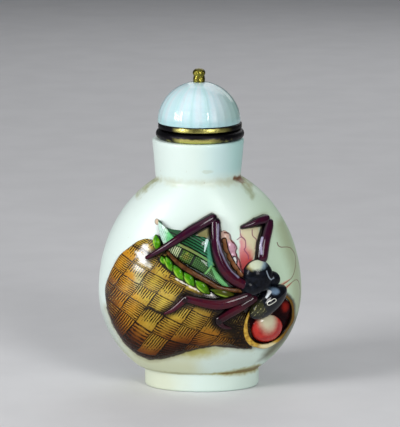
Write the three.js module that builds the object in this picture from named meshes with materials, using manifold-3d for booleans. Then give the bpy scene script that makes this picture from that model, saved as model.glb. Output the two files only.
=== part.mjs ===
// A snuff bottle of white porcelain: a flattened round body on an oval foot, with a raised picture of
// a katydid on a woven gourd, and a stopper made of a metal collar, a fluted dome and a gilt knob.
// Millimetres, +Z up. The picture faces -Y and the foot stands on the plane z = 0.

import * as THREE from "three";
import { mergeVertices } from "three/addons/utils/BufferGeometryUtils.js";
import Module from "manifold-3d";

const wasm = await Module();
wasm.setup();

// Body: an oval at every level, widest at WIDEST_LEVEL, arched above it and bowl-shaped below it.
const BODY_HALF_WIDTH = 22;
const BODY_HALF_DEPTH = 14;
const WIDEST_LEVEL = 21;
const BOWL_DROP = 21;
const FRONT_ARCH = 27.2;
const SIDE_ARCH = 33;
const WALL = 2.6;
const CAVITY_FLOOR = 5.2;

// Foot: a low oval ring with a hollow underside.
const FOOT_HEIGHT = 4;
const FOOT_HALF_WIDTH = 12.4;
const FOOT_HALF_DEPTH = 8.1;
const FOOT_MIDDLE = 0.4;
const FOOT_EDGE = 0.6;
const FOOT_RING = 2.6;
const FOOT_HOLLOW = 1.2;

// Neck: round, a little wider at the lip, and a little to the left of the body's middle.
const NECK_LEVEL = 45.8;
const NECK_RADIUS = 9.15;
const NECK_MIDDLE = -0.4;
const LIP_LEVEL = 54.4;
const LIP_RADIUS = 9.85;
const LIP_EDGE = 0.5;
const BORE_RADIUS = 4.2;
const BORE_FOOT = 43;

// Stopper: collar, dome and knob stand on each other above the lip.
const COLLAR_BEAD_RADIUS = 9.5;
const COLLAR_BEAD_HEIGHT = 2;
const COLLAR_GROOVE_RADIUS = 8.7;
const COLLAR_RING_RADIUS = 9;
const COLLAR_EDGE = 0.2;
const DOME_LEVEL = 57.85;
const DOME_RADIUS = 8.95;
const DOME_TOP = 66.5;
const DOME_FLUTES = 28;
const FLUTE_DEPTH = 0.28;
const FLUTE_STEPS = 3;
const STOPPER_MIDDLE = -0.2;
const KNOB_RADIUS = 1.45;
const KNOB_WAIST = 1.15;
const KNOB_HEIGHT = 3;

// Relief: how deep its roots go into the wall, and how high its forms rise from the body.
const ROOT = 1.6;
const SKIRT = 1.4;
const GOURD_RISE = 2.1;
const WING_RISE = 1.1;
const HEAD_RISE = 2.4;
const BALL_RISE = 1.5;
const SEGMENT_RISE = 0.9;
const FRILL_RISE = 0.7;
const RIM_THICKNESS = 1.15;

// Faces round the bottle, round each limb and its ends, and round and over each oval swelling.
const AROUND = 40;
const LIMB_SIDES = 8;
const LIMB_CAP_ROWS = 2;
const KNOLL_STEPS = 14;
const KNOLL_RINGS = 6;

// Half width and half depth of the body at a level.
function bodyAt(level) {
  const offset = level - WIDEST_LEVEL;
  const front = offset / (offset > 0 ? FRONT_ARCH : BOWL_DROP);
  const side = offset / (offset > 0 ? SIDE_ARCH : BOWL_DROP);
  return {
    halfWidth: BODY_HALF_WIDTH * Math.sqrt(1 - front * front),
    halfDepth: BODY_HALF_DEPTH * Math.sqrt(1 - side * side),
  };
}

// One oval of the bottle's wall.
function oval(level, halfWidth, halfDepth, middle) {
  return { level, halfWidth, halfDepth, middle };
}

// A solid turned through a list of ovals that starts and ends on the axis.
function ovalLathe(ovals) {
  const profile = ovals.map((ring) => new THREE.Vector2(ring.halfWidth, ring.level));
  const geometry = new THREE.LatheGeometry(profile, AROUND);
  geometry.rotateX(Math.PI / 2);
  const position = geometry.attributes.position;
  for (let i = 0; i < position.count; i += 1) {
    const ring = ovals[i % ovals.length];
    const flattening = ring.halfWidth > 0 ? ring.halfDepth / ring.halfWidth : 1;
    position.setX(i, position.getX(i) + ring.middle);
    position.setY(i, position.getY(i) * flattening);
  }
  return geometry;
}

// A round piece of the stopper, turned from its profile.
function turned(profile, around) {
  const points = profile.map(([radius, level]) => new THREE.Vector2(radius, level));
  const geometry = new THREE.LatheGeometry(points, around);
  geometry.rotateX(Math.PI / 2);
  return geometry;
}

function toSolid(geometry) {
  const bare = geometry.clone();
  bare.deleteAttribute("normal");
  bare.deleteAttribute("uv");
  const merged = mergeVertices(bare);
  return new wasm.Manifold(new wasm.Mesh({
    numProp: 3,
    vertProperties: new Float32Array(merged.attributes.position.array),
    triVerts: new Uint32Array(merged.index.array),
  }));
}

function toGeometry(solid) {
  const mesh = solid.getMesh();
  const geometry = new THREE.BufferGeometry();
  geometry.setAttribute("position", new THREE.BufferAttribute(mesh.vertProperties, 3));
  geometry.setIndex(new THREE.BufferAttribute(mesh.triVerts, 1));
  geometry.computeVertexNormals();
  return geometry;
}

// The bottle's wall, from the hollow under the foot, up the outside, and down the inside.
function wallOvals() {
  const ovals = [];
  const ringHalfWidth = FOOT_HALF_WIDTH - FOOT_RING;
  const ringHalfDepth = FOOT_HALF_DEPTH - FOOT_RING;
  ovals.push(oval(FOOT_HOLLOW, 0, 0, FOOT_MIDDLE));
  ovals.push(oval(FOOT_HOLLOW, ringHalfWidth - FOOT_EDGE, ringHalfDepth - FOOT_EDGE, FOOT_MIDDLE));
  ovals.push(oval(0, ringHalfWidth, ringHalfDepth, FOOT_MIDDLE));
  ovals.push(oval(0, FOOT_HALF_WIDTH - FOOT_EDGE, FOOT_HALF_DEPTH - FOOT_EDGE, FOOT_MIDDLE));
  ovals.push(oval(FOOT_EDGE, FOOT_HALF_WIDTH, FOOT_HALF_DEPTH, FOOT_MIDDLE));
  ovals.push(oval(FOOT_HEIGHT - FOOT_EDGE / 2, FOOT_HALF_WIDTH, FOOT_HALF_DEPTH, FOOT_MIDDLE));

  const bodySteps = 12;
  const lowest = -Math.asin((WIDEST_LEVEL - FOOT_HEIGHT) / BOWL_DROP);
  const highest = Math.asin((NECK_LEVEL - WIDEST_LEVEL) / FRONT_ARCH);
  for (let i = 0; i <= bodySteps; i += 1) {
    const angle = lowest + (highest - lowest) * i / bodySteps;
    const level = WIDEST_LEVEL + Math.sin(angle) * (angle > 0 ? FRONT_ARCH : BOWL_DROP);
    const { halfWidth, halfDepth } = bodyAt(level);
    const settle = i === bodySteps ? NECK_MIDDLE : 0;
    ovals.push(oval(level, halfWidth, halfDepth, settle));
  }

  const neckSteps = 2;
  for (let i = 1; i <= neckSteps; i += 1) {
    const share = i / neckSteps;
    const radius = NECK_RADIUS + (LIP_RADIUS - NECK_RADIUS) * share;
    const level = NECK_LEVEL + (LIP_LEVEL - LIP_EDGE - NECK_LEVEL) * share;
    ovals.push(oval(level, radius, radius, NECK_MIDDLE));
  }
  ovals.push(oval(LIP_LEVEL, LIP_RADIUS - LIP_EDGE, LIP_RADIUS - LIP_EDGE, NECK_MIDDLE));
  ovals.push(oval(LIP_LEVEL, BORE_RADIUS, BORE_RADIUS, NECK_MIDDLE));
  ovals.push(oval(BORE_FOOT, BORE_RADIUS, BORE_RADIUS, NECK_MIDDLE));

  const cavitySteps = 6;
  const insideWidth = BODY_HALF_WIDTH - WALL;
  const insideDepth = BODY_HALF_DEPTH - WALL;
  const insideArch = BORE_FOOT - WIDEST_LEVEL;
  const insideBowl = WIDEST_LEVEL - CAVITY_FLOOR;
  const borePolar = Math.asin(BORE_RADIUS / insideDepth);
  for (let i = 1; i < cavitySteps; i += 1) {
    const polar = borePolar + (Math.PI - borePolar) * i / cavitySteps;
    const height = Math.cos(polar) * (polar < Math.PI / 2 ? insideArch : insideBowl);
    const reach = Math.sin(polar);
    ovals.push(oval(WIDEST_LEVEL + height, insideWidth * reach, insideDepth * reach, 0));
  }
  ovals.push(oval(CAVITY_FLOOR, 0, 0, 0));
  return ovals;
}

// The point on the body's front at x and level, raised by lift along the surface's normal.
function onFront(x, level, lift) {
  const { halfWidth, halfDepth } = bodyAt(level);
  const reach = 0.1;
  const above = bodyAt(level + reach);
  const below = bodyAt(level - reach);
  const side = THREE.MathUtils.clamp(x / halfWidth, -0.99, 0.99);
  const y = -halfDepth * Math.sqrt(1 - side * side);
  const narrowing = (above.halfWidth - below.halfWidth) / (2 * reach * halfWidth);
  const thinning = (above.halfDepth - below.halfDepth) / (2 * reach * halfDepth);
  const normal = new THREE.Vector3(
    x / halfWidth ** 2,
    y / halfDepth ** 2,
    -(side ** 2) * narrowing - (1 - side ** 2) * thinning,
  );
  return new THREE.Vector3(x, y, level).addScaledVector(normal.normalize(), lift);
}

// Wraps a form drawn flat (x across, y up the front, z towards the viewer) round the body's front.
function wrapped(geometry) {
  const position = geometry.attributes.position;
  for (let i = 0; i < position.count; i += 1) {
    const point = onFront(position.getX(i), position.getY(i), position.getZ(i));
    position.setXYZ(i, point.x, point.y, point.z);
  }
  return toSolid(geometry);
}

// A closed smooth outline through points given anticlockwise as [x, level].
function outlineThrough(points) {
  const corners = points.map(([x, level]) => new THREE.Vector3(x, level, 0));
  return new THREE.CatmullRomCurve3(corners, true);
}

// An oval outline, turned by a number of degrees.
function ovalOutline(x, level, halfLength, halfWidth, turn) {
  return new THREE.EllipseCurve(
    x, level, halfLength, halfWidth, 0, 2 * Math.PI, false, THREE.MathUtils.degToRad(turn),
  );
}

// A swelling inside an outline: it starts at the lift base and rises to a crest over the middle.
function swelling(outline, middle, base, rise, steps, rings) {
  const geometry = new THREE.SphereGeometry(1, steps, rings);
  const position = geometry.attributes.position;
  for (let i = 0; i < position.count; i += 1) {
    const column = (i % (steps + 1)) % steps;
    const polar = Math.PI * Math.floor(i / (steps + 1)) / rings;
    const above = Math.cos(polar) > -1e-6;
    const reach = above ? Math.sin(polar) : Math.min(1, SKIRT * Math.sin(polar));
    const lift = above ? base + rise * Math.abs(Math.cos(polar)) : -ROOT;
    const edge = outline.getPoint(column / steps);
    const x = middle[0] + (edge.x - middle[0]) * reach;
    const level = middle[1] + (edge.y - middle[1]) * reach;
    position.setXYZ(i, x, level, lift);
  }
  return wrapped(geometry);
}

// An oval swelling, such as the head.
function knoll(x, level, halfLength, halfWidth, turn, base, rise) {
  const outline = ovalOutline(x, level, halfLength, halfWidth, turn);
  return swelling(outline, [x, level], base, rise, KNOLL_STEPS, KNOLL_RINGS);
}

// A rounded limb along stations given as [x, level, lift, radius].
function limb(stations) {
  const steps = 2 * stations.length - 1;
  const path = new THREE.CatmullRomCurve3(stations.map(([x, level, lift]) => {
    return new THREE.Vector3(x, level, lift);
  }));
  const girth = new THREE.SplineCurve(stations.map((station, i) => {
    return new THREE.Vector2(i, station[3]);
  }));
  const geometry = new THREE.CapsuleGeometry(1, 1, LIMB_CAP_ROWS, LIMB_SIDES, steps);
  const position = geometry.attributes.position;
  for (let i = 0; i < position.count; i += 1) {
    const along = THREE.MathUtils.clamp(position.getY(i), -0.5, 0.5);
    const beyond = position.getY(i) - along;
    const centre = path.getPoint(along + 0.5);
    const ahead = path.getTangent(along + 0.5).setZ(0).normalize();
    const radius = girth.getPoint(along + 0.5).y;
    const aside = position.getX(i) * radius;
    const onward = beyond * radius;
    position.setXYZ(
      i,
      centre.x + ahead.x * onward + ahead.y * aside,
      centre.y + ahead.y * onward - ahead.x * aside,
      centre.z + position.getZ(i) * radius,
    );
  }
  return wrapped(geometry);
}

// The gourd cage: a round bulb that narrows to a neck at the right.
function gourd() {
  const outline = outlineThrough([
    [-10.4, 34.3], [-15.3, 32], [-19, 26.6], [-20.3, 20.9], [-18.5, 14.5], [-14.6, 9.2],
    [-10.6, 7.6], [-5.4, 9.2], [0.5, 11.2], [6, 11.4], [10.9, 10.4], [10, 18.6], [2.1, 25.1],
    [-5, 31],
  ]);
  return swelling(outline, [-10, 21], 0, GOURD_RISE, 36, 8);
}

// The gourd's open mouth: a raised oval rim round a hollow, with a round red stopper inside.
function gourdMouth() {
  const halfLength = 5.75;
  const halfWidth = 4.7;
  const rim = new THREE.TorusGeometry(1, RIM_THICKNESS / 2 / halfLength, 6, 30);
  rim.scale(halfLength, halfWidth, halfLength);
  rim.rotateZ(THREE.MathUtils.degToRad(55));
  rim.translate(14.4, 16.4, RIM_THICKNESS / 2);
  const ball = knoll(14, 15, 3.2, 3.1, 0, 0, BALL_RISE);
  return [wrapped(rim), ball];
}

// The abdomen: overlapping plump segments along a line, steep at the tail and level at the thorax.
function abdomen() {
  const line = new THREE.SplineCurve([
    new THREE.Vector2(-8.4, 32),
    new THREE.Vector2(-6.3, 29.4),
    new THREE.Vector2(-2.2, 26.5),
    new THREE.Vector2(4.4, 23.4),
  ]);
  const count = 6;
  const segments = [];
  for (let i = 0; i < count; i += 1) {
    const share = i / (count - 1);
    const centre = line.getPoint(share);
    const halfLength = THREE.MathUtils.lerp(1.7, 3, share);
    const turn = THREE.MathUtils.lerp(-80, -20, share);
    segments.push(knoll(centre.x, centre.y, halfLength, 1.25, turn, SEGMENT_RISE, SEGMENT_RISE));
  }
  return segments;
}

// The folded green wing, with its pointed tip at the upper left.
function foreWing() {
  const outline = outlineThrough([
    [-8.5, 38.4], [-8.4, 36], [-6.8, 32.5], [-2.9, 29.5], [2.1, 26.7], [6, 24.7], [3.4, 28.5],
    [2.3, 32.1], [1.8, 34.7], [-3.5, 36.4], [-6.6, 37],
  ]);
  return swelling(outline, [-2, 32.4], 0.8, WING_RISE, 24, 6);
}

// The frilled edge of the pink hind wing: a row of small lobes.
function hindWing() {
  const count = 4;
  const lobes = [];
  for (let i = 0; i < count; i += 1) {
    const share = i / (count - 1);
    const x = THREE.MathUtils.lerp(5.5, 8.5, share);
    const level = THREE.MathUtils.lerp(34.9, 27.9, share);
    lobes.push(knoll(x, level, 1.9, 1.25, -65, 0, FRILL_RISE));
  }
  return lobes;
}

// The legs: each thigh and shin is a tapering limb, with the shins ending in a fine point.
function legs() {
  const thighs = [
    [[9.2, 24.8, 1.1, 1.2], [5.6, 27.4, 1.2, 1.2], [3.4, 32, 1.1, 1.1], [3, 38.2, 0.8, 1.1]],
    [[9.6, 22.6, 1.4, 1.1], [3.8, 21.2, 1.6, 1.2], [-2.5, 22.5, 1.9, 0.95]],
    [[10.8, 21.9, 1.2, 1], [7, 19.8, 1.3, 1], [3.9, 17.9, 1.4, 0.9]],
    [[12.9, 30.2, 0.6, 1.2], [13.4, 33.8, 0.5, 1.15], [14.1, 37.2, 0.4, 1]],
  ];
  const shins = [
    [[2.5, 38.9, 0.8, 1.05], [-2, 36.3, 1.6, 0.95], [-6, 33.5, 1.9, 0.75], [-10.7, 30.5, 1.5, 0.4]],
    [[-2.9, 22.4, 1.9, 0.85], [-5.2, 20.3, 2.1, 0.6], [-7, 19.3, 2.1, 0.3]],
    [[3.8, 17.5, 1.4, 0.7], [4.8, 16.4, 1.2, 0.55], [6.8, 15.7, 0.9, 0.35]],
    [[13.7, 37.8, 0.4, 1], [11.3, 37.7, 0.4, 0.75], [8.8, 37, 0.2, 0.35]],
  ];
  return [...thighs, ...shins].map(limb);
}

// The brown edge of the wing, a thin ridge between the wing and the abdomen.
function wingEdge() {
  return limb([[-7.1, 32.1, 1.1, 0.5], [-2.5, 28.6, 1.3, 0.55], [3.1, 25, 1.2, 0.55], [8.6, 23.7, 1, 0.5]]);
}

// Thorax and head: the thorax is a large lump with a side lobe, and the head looks down to the right.
function thoraxAndHead() {
  const thorax = knoll(12, 26, 4, 3.1, 105, 0.6, HEAD_RISE);
  const lobe = knoll(14.9, 26.4, 2.6, 1.5, 115, 0.4, 1.5);
  const head = knoll(14.2, 20.7, 4.3, 2.3, 32, 0.6, HEAD_RISE - 0.2);
  return [thorax, lobe, head];
}

function bottleSolid() {
  const wall = toSolid(ovalLathe(wallOvals()));
  const relief = [
    gourd(),
    ...gourdMouth(),
    ...abdomen(),
    foreWing(),
    wingEdge(),
    ...hindWing(),
    ...legs(),
    ...thoraxAndHead(),
  ];
  return relief.reduce((whole, form) => whole.add(form), wall);
}

// The collar: a plump bead on the lip, a groove, and a narrow upper ring.
function collarGeometry() {
  const profile = [[0, LIP_LEVEL]];
  const beadHalf = COLLAR_BEAD_HEIGHT / 2;
  const beadBulge = COLLAR_BEAD_RADIUS - COLLAR_GROOVE_RADIUS;
  const beadSteps = 6;
  for (let i = 0; i <= beadSteps; i += 1) {
    const angle = -Math.PI / 2 + Math.PI * i / beadSteps;
    profile.push([
      COLLAR_GROOVE_RADIUS + beadBulge * Math.cos(angle),
      LIP_LEVEL + beadHalf + beadHalf * Math.sin(angle),
    ]);
  }
  profile.push([COLLAR_RING_RADIUS, LIP_LEVEL + COLLAR_BEAD_HEIGHT + COLLAR_EDGE]);
  profile.push([COLLAR_RING_RADIUS, DOME_LEVEL - COLLAR_EDGE]);
  profile.push([COLLAR_RING_RADIUS - COLLAR_EDGE, DOME_LEVEL]);
  profile.push([0, DOME_LEVEL]);
  return turned(profile, AROUND);
}

// The dome: a half ball with hollow flutes between sharp ridges, flat on top under the knob.
function domeGeometry() {
  const height = DOME_TOP - DOME_LEVEL;
  const steps = 6;
  const flatRadius = KNOB_RADIUS + 0.1;
  const highest = Math.acos(flatRadius / DOME_RADIUS);
  const profile = [[0, DOME_LEVEL]];
  for (let i = 0; i <= steps; i += 1) {
    const angle = highest * i / steps;
    const level = DOME_LEVEL + height * Math.sin(angle) / Math.sin(highest);
    profile.push([DOME_RADIUS * Math.cos(angle), level]);
  }
  profile.push([0, DOME_TOP]);
  const geometry = turned(profile, DOME_FLUTES * FLUTE_STEPS);
  const position = geometry.attributes.position;
  for (let i = 0; i < position.count; i += 1) {
    const column = Math.floor(i / profile.length);
    const radius = Math.hypot(position.getX(i), position.getY(i));
    const hollow = FLUTE_DEPTH * Math.sin(Math.PI * (column % FLUTE_STEPS) / FLUTE_STEPS);
    const narrowing = Math.max(0, (radius - flatRadius) / (DOME_RADIUS - flatRadius));
    const scale = radius > 0 ? 1 - hollow * narrowing / radius : 1;
    position.setX(i, position.getX(i) * scale);
    position.setY(i, position.getY(i) * scale);
  }
  return geometry;
}

// The knob: a short post with a rounded head.
function knobGeometry() {
  const headHeight = KNOB_HEIGHT * 0.4;
  const headLevel = DOME_TOP + KNOB_HEIGHT - headHeight;
  const waistLevel = DOME_TOP + KNOB_HEIGHT * 0.3;
  const profile = [[0, DOME_TOP], [KNOB_WAIST + 0.1, DOME_TOP], [KNOB_WAIST, waistLevel]];
  const headSteps = 5;
  for (let i = 0; i < headSteps; i += 1) {
    const angle = (Math.PI / 2) * i / headSteps;
    profile.push([KNOB_RADIUS * Math.cos(angle), headLevel + headHeight * Math.sin(angle)]);
  }
  profile.push([0, DOME_TOP + KNOB_HEIGHT]);
  return turned(profile, 14);
}

function piece(name, geometry, color, roughness, metalness) {
  const material = new THREE.MeshStandardMaterial({ color, roughness, metalness });
  const mesh = new THREE.Mesh(geometry, material);
  mesh.name = name;
  return mesh;
}

const snuffBottle = new THREE.Group();
const bottle = piece("bottle", toGeometry(bottleSolid()), 0xebf5f0, 0.2, 0);
const collar = piece("stopper_collar", collarGeometry(), 0x2a2420, 0.35, 1);
const dome = piece("stopper_dome", domeGeometry(), 0xcdebf0, 0.2, 0);
const knob = piece("stopper_finial", knobGeometry(), 0xbeaa46, 0.3, 1);
dome.position.x = STOPPER_MIDDLE;
knob.position.x = STOPPER_MIDDLE;
snuffBottle.add(bottle, collar, dome, knob);

// The relief makes the front deeper than the back, so the origin goes under the middle of the whole.
const wholeBox = new THREE.Box3().setFromObject(snuffBottle);
snuffBottle.position.y = -(wholeBox.min.y + wholeBox.max.y) / 2;

export default snuffBottle;
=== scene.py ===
import math

import bpy
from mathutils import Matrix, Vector


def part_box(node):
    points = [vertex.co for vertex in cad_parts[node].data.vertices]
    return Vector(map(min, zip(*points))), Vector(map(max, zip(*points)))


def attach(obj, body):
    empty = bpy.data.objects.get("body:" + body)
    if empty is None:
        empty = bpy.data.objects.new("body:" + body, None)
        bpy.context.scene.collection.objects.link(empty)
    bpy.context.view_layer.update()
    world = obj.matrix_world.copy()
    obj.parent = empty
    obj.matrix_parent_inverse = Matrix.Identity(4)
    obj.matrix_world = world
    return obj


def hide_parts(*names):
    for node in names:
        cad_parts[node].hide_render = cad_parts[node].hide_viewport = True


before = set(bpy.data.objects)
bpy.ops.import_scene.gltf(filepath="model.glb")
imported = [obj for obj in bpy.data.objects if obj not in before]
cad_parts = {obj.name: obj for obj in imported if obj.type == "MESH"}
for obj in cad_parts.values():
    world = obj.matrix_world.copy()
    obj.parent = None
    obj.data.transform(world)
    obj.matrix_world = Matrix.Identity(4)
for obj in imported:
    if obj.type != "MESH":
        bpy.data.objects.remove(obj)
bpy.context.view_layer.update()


# Camera: a long lens, far off and a little above the bottle's middle, looks straight at the raised
# picture. The frame is 400 by 427 pixels, and the bottle's axis stands behind the frame's origin.
BODY_HALF_DEPTH = 0.014
AXIS_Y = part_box("bottle")[1].y - BODY_HALF_DEPTH
AIM_LEVEL = 0.0378
AIM = Vector((0, AXIS_Y, AIM_LEVEL))
CAMERA_DISTANCE = 0.65
CAMERA_ELEVATION = math.radians(11)
PIXELS_PER_METRE = 4630
FRAME_HEIGHT = 427
SENSOR = 36

bpy.ops.object.select_all(action="DESELECT")
bpy.ops.object.camera_add(
    location=AIM + CAMERA_DISTANCE * Vector((0, -math.cos(CAMERA_ELEVATION), math.sin(CAMERA_ELEVATION))),
    rotation=(math.pi / 2 - CAMERA_ELEVATION, 0, 0),
)
camera = bpy.context.object
camera.data.sensor_width = SENSOR
camera.data.lens = PIXELS_PER_METRE * CAMERA_DISTANCE * SENSOR / FRAME_HEIGHT
camera.data.clip_start = 0.01
bpy.context.scene.camera = camera
bpy.context.scene.view_settings.view_transform = "Standard"


# Floor: a wide, plain, pale sheet that the foot stands on. Its finish, as every finish below, is mixed from
# marks: a Mark wraps one shader socket, and an expression on marks adds the nodes.
FLOOR_RADIUS = 4.0
FLOOR_SIDES = 96


class Mark:
    def __init__(self, tree, socket=None):
        self.tree = tree
        self.socket = socket

    def node(self, kind, settings, inputs, output=0):
        made = self.tree.nodes.new(kind)
        for name, value in settings.items():
            setattr(made, name, value)
        for key, value in inputs.items():
            if isinstance(value, Mark):
                self.tree.links.new(value.socket, made.inputs[key])
            else:
                made.inputs[key].default_value = value
        return Mark(self.tree, made.outputs[output])

    def feed(self, shader, name):
        self.tree.links.new(self.socket, shader.inputs[name])

    def math(self, operation, *values):
        return self.node("ShaderNodeMath", {"operation": operation}, dict(enumerate(values)))

    def __add__(self, other):
        return self.math("ADD", self, other)

    __radd__ = __add__

    def __sub__(self, other):
        return self.math("SUBTRACT", self, other)

    def __rsub__(self, other):
        return self.math("SUBTRACT", other, self)

    def __mul__(self, other):
        return self.math("MULTIPLY", self, other)

    __rmul__ = __mul__

    def __truediv__(self, other):
        return self.math("DIVIDE", self, other)

    def sine(self):
        return self.math("SINE", self)

    def fraction(self):
        return self.math("FRACT", self)

    def floor(self):
        return self.math("FLOOR", self)

    def most(self, other):
        return self.math("MAXIMUM", self, other)

    def least(self, other):
        return self.math("MINIMUM", self, other)

    def __abs__(self):
        return self.math("ABSOLUTE", self)

    def ramp(self, low, high):
        """0 where this is under low, 1 where it is over high, and smooth between."""
        settings = {"interpolation_type": "SMOOTHSTEP"}
        return self.node("ShaderNodeMapRange", settings, {"Value": self, "From Min": low, "From Max": high})

    def mix(self, first, second):
        """The first colour where this is 0, and the second where it is 1."""
        settings = {"data_type": "RGBA"}
        return self.node("ShaderNodeMix", settings, {0: self, 6: first, 7: second}, output=2)

    def vector(self, operation, *values, output=0):
        return self.node("ShaderNodeVectorMath", {"operation": operation}, dict(enumerate(values)), output)

    def part(self, axis):
        return self.node("ShaderNodeSeparateXYZ", {}, {0: self}, output=axis)

    def cloud(self, scale, detail=3.0):
        """Soft noise round 0.5 over this place, with about so many clouds to a unit."""
        return self.node("ShaderNodeTexNoise", {}, {"Vector": self, "Scale": scale, "Detail": detail})

    def spot(self, x, level, half_width, half_height):
        """How far this place is from the middle of an oval: 1 on the oval's edge."""
        offset = self.vector("SUBTRACT", self, (x, level, 0))
        share = self.vector("MULTIPLY", offset, (1 / half_width, 1 / half_height, 0))
        return self.vector("LENGTH", share, output=1)

    def line(self, points):
        """How far this place is from a line through points of x and level, less the radius given there."""
        nearest = None
        for start, end in zip(points, points[1:]):
            span = Vector((end[0] - start[0], end[1] - start[1], 0))
            offset = self.vector("SUBTRACT", self, (start[0], start[1], 0))
            share = self.vector("DOT_PRODUCT", offset, span / span.length_squared, output=1)
            share = self.node("ShaderNodeClamp", {}, {"Value": share})
            foot = self.node("ShaderNodeVectorMath", {"operation": "SCALE"}, {0: span, "Scale": share})
            gap = self.vector("DISTANCE", offset, foot, output=1)
            if len(start) > 2:
                gap = gap - start[2] - (end[2] - start[2]) * share
            nearest = gap if nearest is None else nearest.least(gap)
        return nearest


def ink(red, green, blue):
    def linear(value):
        share = value / 255
        return share / 12.92 if share <= 0.04045 else ((share + 0.055) / 1.055) ** 2.4

    return (linear(red), linear(green), linear(blue), 1.0)


def finish(name, roughness, coat=0.0, metallic=0.0, specular=0.5):
    """A new material, its shader, and a mark to write its paint with."""
    material = bpy.data.materials.new(name)
    material.use_nodes = True
    shader = material.node_tree.nodes["Principled BSDF"]
    shader.inputs["Roughness"].default_value = roughness
    shader.inputs["Coat Weight"].default_value = coat
    shader.inputs["Coat Roughness"].default_value = 0.06
    shader.inputs["Metallic"].default_value = metallic
    shader.inputs["Specular IOR Level"].default_value = specular
    return material, shader, Mark(material.node_tree)


def lay(shader, brush, color, height=None, depth=0.0):
    """Links a colour to a shader, and a height (in metres where depth is 1) to its bump."""
    color.feed(shader, "Base Color")
    if height is not None:
        bump = brush.node("ShaderNodeBump", {}, {"Height": height, "Distance": depth, "Strength": 1.0})
        bump.feed(shader, "Normal")


bpy.ops.object.select_all(action="DESELECT")
bpy.ops.mesh.primitive_circle_add(vertices=FLOOR_SIDES, radius=FLOOR_RADIUS, fill_type="NGON")
floor = bpy.context.object
floor.name = "floor"
paper, paper_shader, brush = finish("floor_paper", roughness=0.9)
ground = brush.node("ShaderNodeTexCoord", {}, {}, output="Object")
lay(paper_shader, brush, ground.cloud(60.0, 4.0).ramp(0.3, 0.7).mix(ink(220, 220, 222), ink(224, 224, 226)))
floor.data.materials.append(paper)


# Lights: two soft boxes, left and right of the camera, make the highlights on the dome and the enamel.
# Broad soft lights above and behind, and a grey room, fill the shadows.
LIGHT_DISTANCE = 0.6


def soft_box(name, azimuth, elevation, width, height, power):
    turn, rise = math.radians(azimuth), math.radians(elevation)
    away = Vector((math.sin(turn) * math.cos(rise), -math.cos(turn) * math.cos(rise), math.sin(rise)))
    bpy.ops.object.select_all(action="DESELECT")
    bpy.ops.object.light_add(type="AREA", location=AIM + LIGHT_DISTANCE * away)
    lamp = bpy.context.object
    lamp.name = name
    lamp.rotation_euler = away.to_track_quat("Z", "Y").to_euler()
    lamp.data.shape = "RECTANGLE"
    lamp.data.size = width
    lamp.data.size_y = height
    lamp.data.energy = power


soft_box("left_box", -55, 22, 0.2, 0.25, 2.3)
soft_box("right_box", 27, 24, 0.17, 0.24, 1.5)
soft_box("top_light", -20, 70, 0.5, 0.5, 0.65)
soft_box("back_fill", 165, 38, 0.5, 0.5, 0.8)

room = bpy.data.worlds.new("grey_room")
room.use_nodes = True
room.node_tree.nodes["Background"].inputs["Color"].default_value = ink(180, 184, 190)
room.node_tree.nodes["Background"].inputs["Strength"].default_value = 0.2
bpy.context.scene.world = room


# Bottle wall: white porcelain, moulded hollow, with a flattened round body, an oval foot that is
# hollowed below, and a round neck with a narrow bore. Glazed all over, with dirt in its corners, and with
# painted shade on its right side and neck and along its edges and the legs.
MM = 0.001
BODY_HALF_WIDTH = 22
BODY_DEPTH = BODY_HALF_DEPTH / MM
WIDEST_LEVEL = 21
BOWL_DROP = 21
FRONT_ARCH = 27.2
SIDE_ARCH = 33
WALL = 2.6
CAVITY_FLOOR = 5.2
FOOT_HEIGHT = 4
FOOT_HALF_WIDTH = 12.4
FOOT_HALF_DEPTH = 8.1
FOOT_MIDDLE = 0.4
FOOT_EDGE = 0.6
FOOT_RING = 2.6
FOOT_HOLLOW = 1.2
NECK_LEVEL = 45.8
NECK_RADIUS = 9.15
NECK_MIDDLE = -0.4
LIP_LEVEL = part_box("bottle")[1].z / MM
LIP_RADIUS = 9.85
LIP_EDGE = 0.5
BORE_RADIUS = 4.2
BORE_FOOT = 43
CREASE = 0.5
POLE = 0.05
WALL_SIDES = 144
CURVE_STEPS = 16


def body_at(level):
    """Half width and half depth of the body at a level, in millimetres."""
    offset = level - WIDEST_LEVEL
    front = offset / (FRONT_ARCH if offset > 0 else BOWL_DROP)
    side = offset / (SIDE_ARCH if offset > 0 else BOWL_DROP)
    return BODY_HALF_WIDTH * math.sqrt(1 - front ** 2), BODY_DEPTH * math.sqrt(1 - side ** 2)


def arc(count):
    """Sine and cosine of the angles of a quarter turn, in even steps after 0."""
    angles = [math.pi / 2 * step / count for step in range(1, count + 1)]
    return [(math.sin(angle), math.cos(angle)) for angle in angles]


def between(low, high, count):
    return [low + (high - low) * step / count for step in range(count + 1)]


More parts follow.
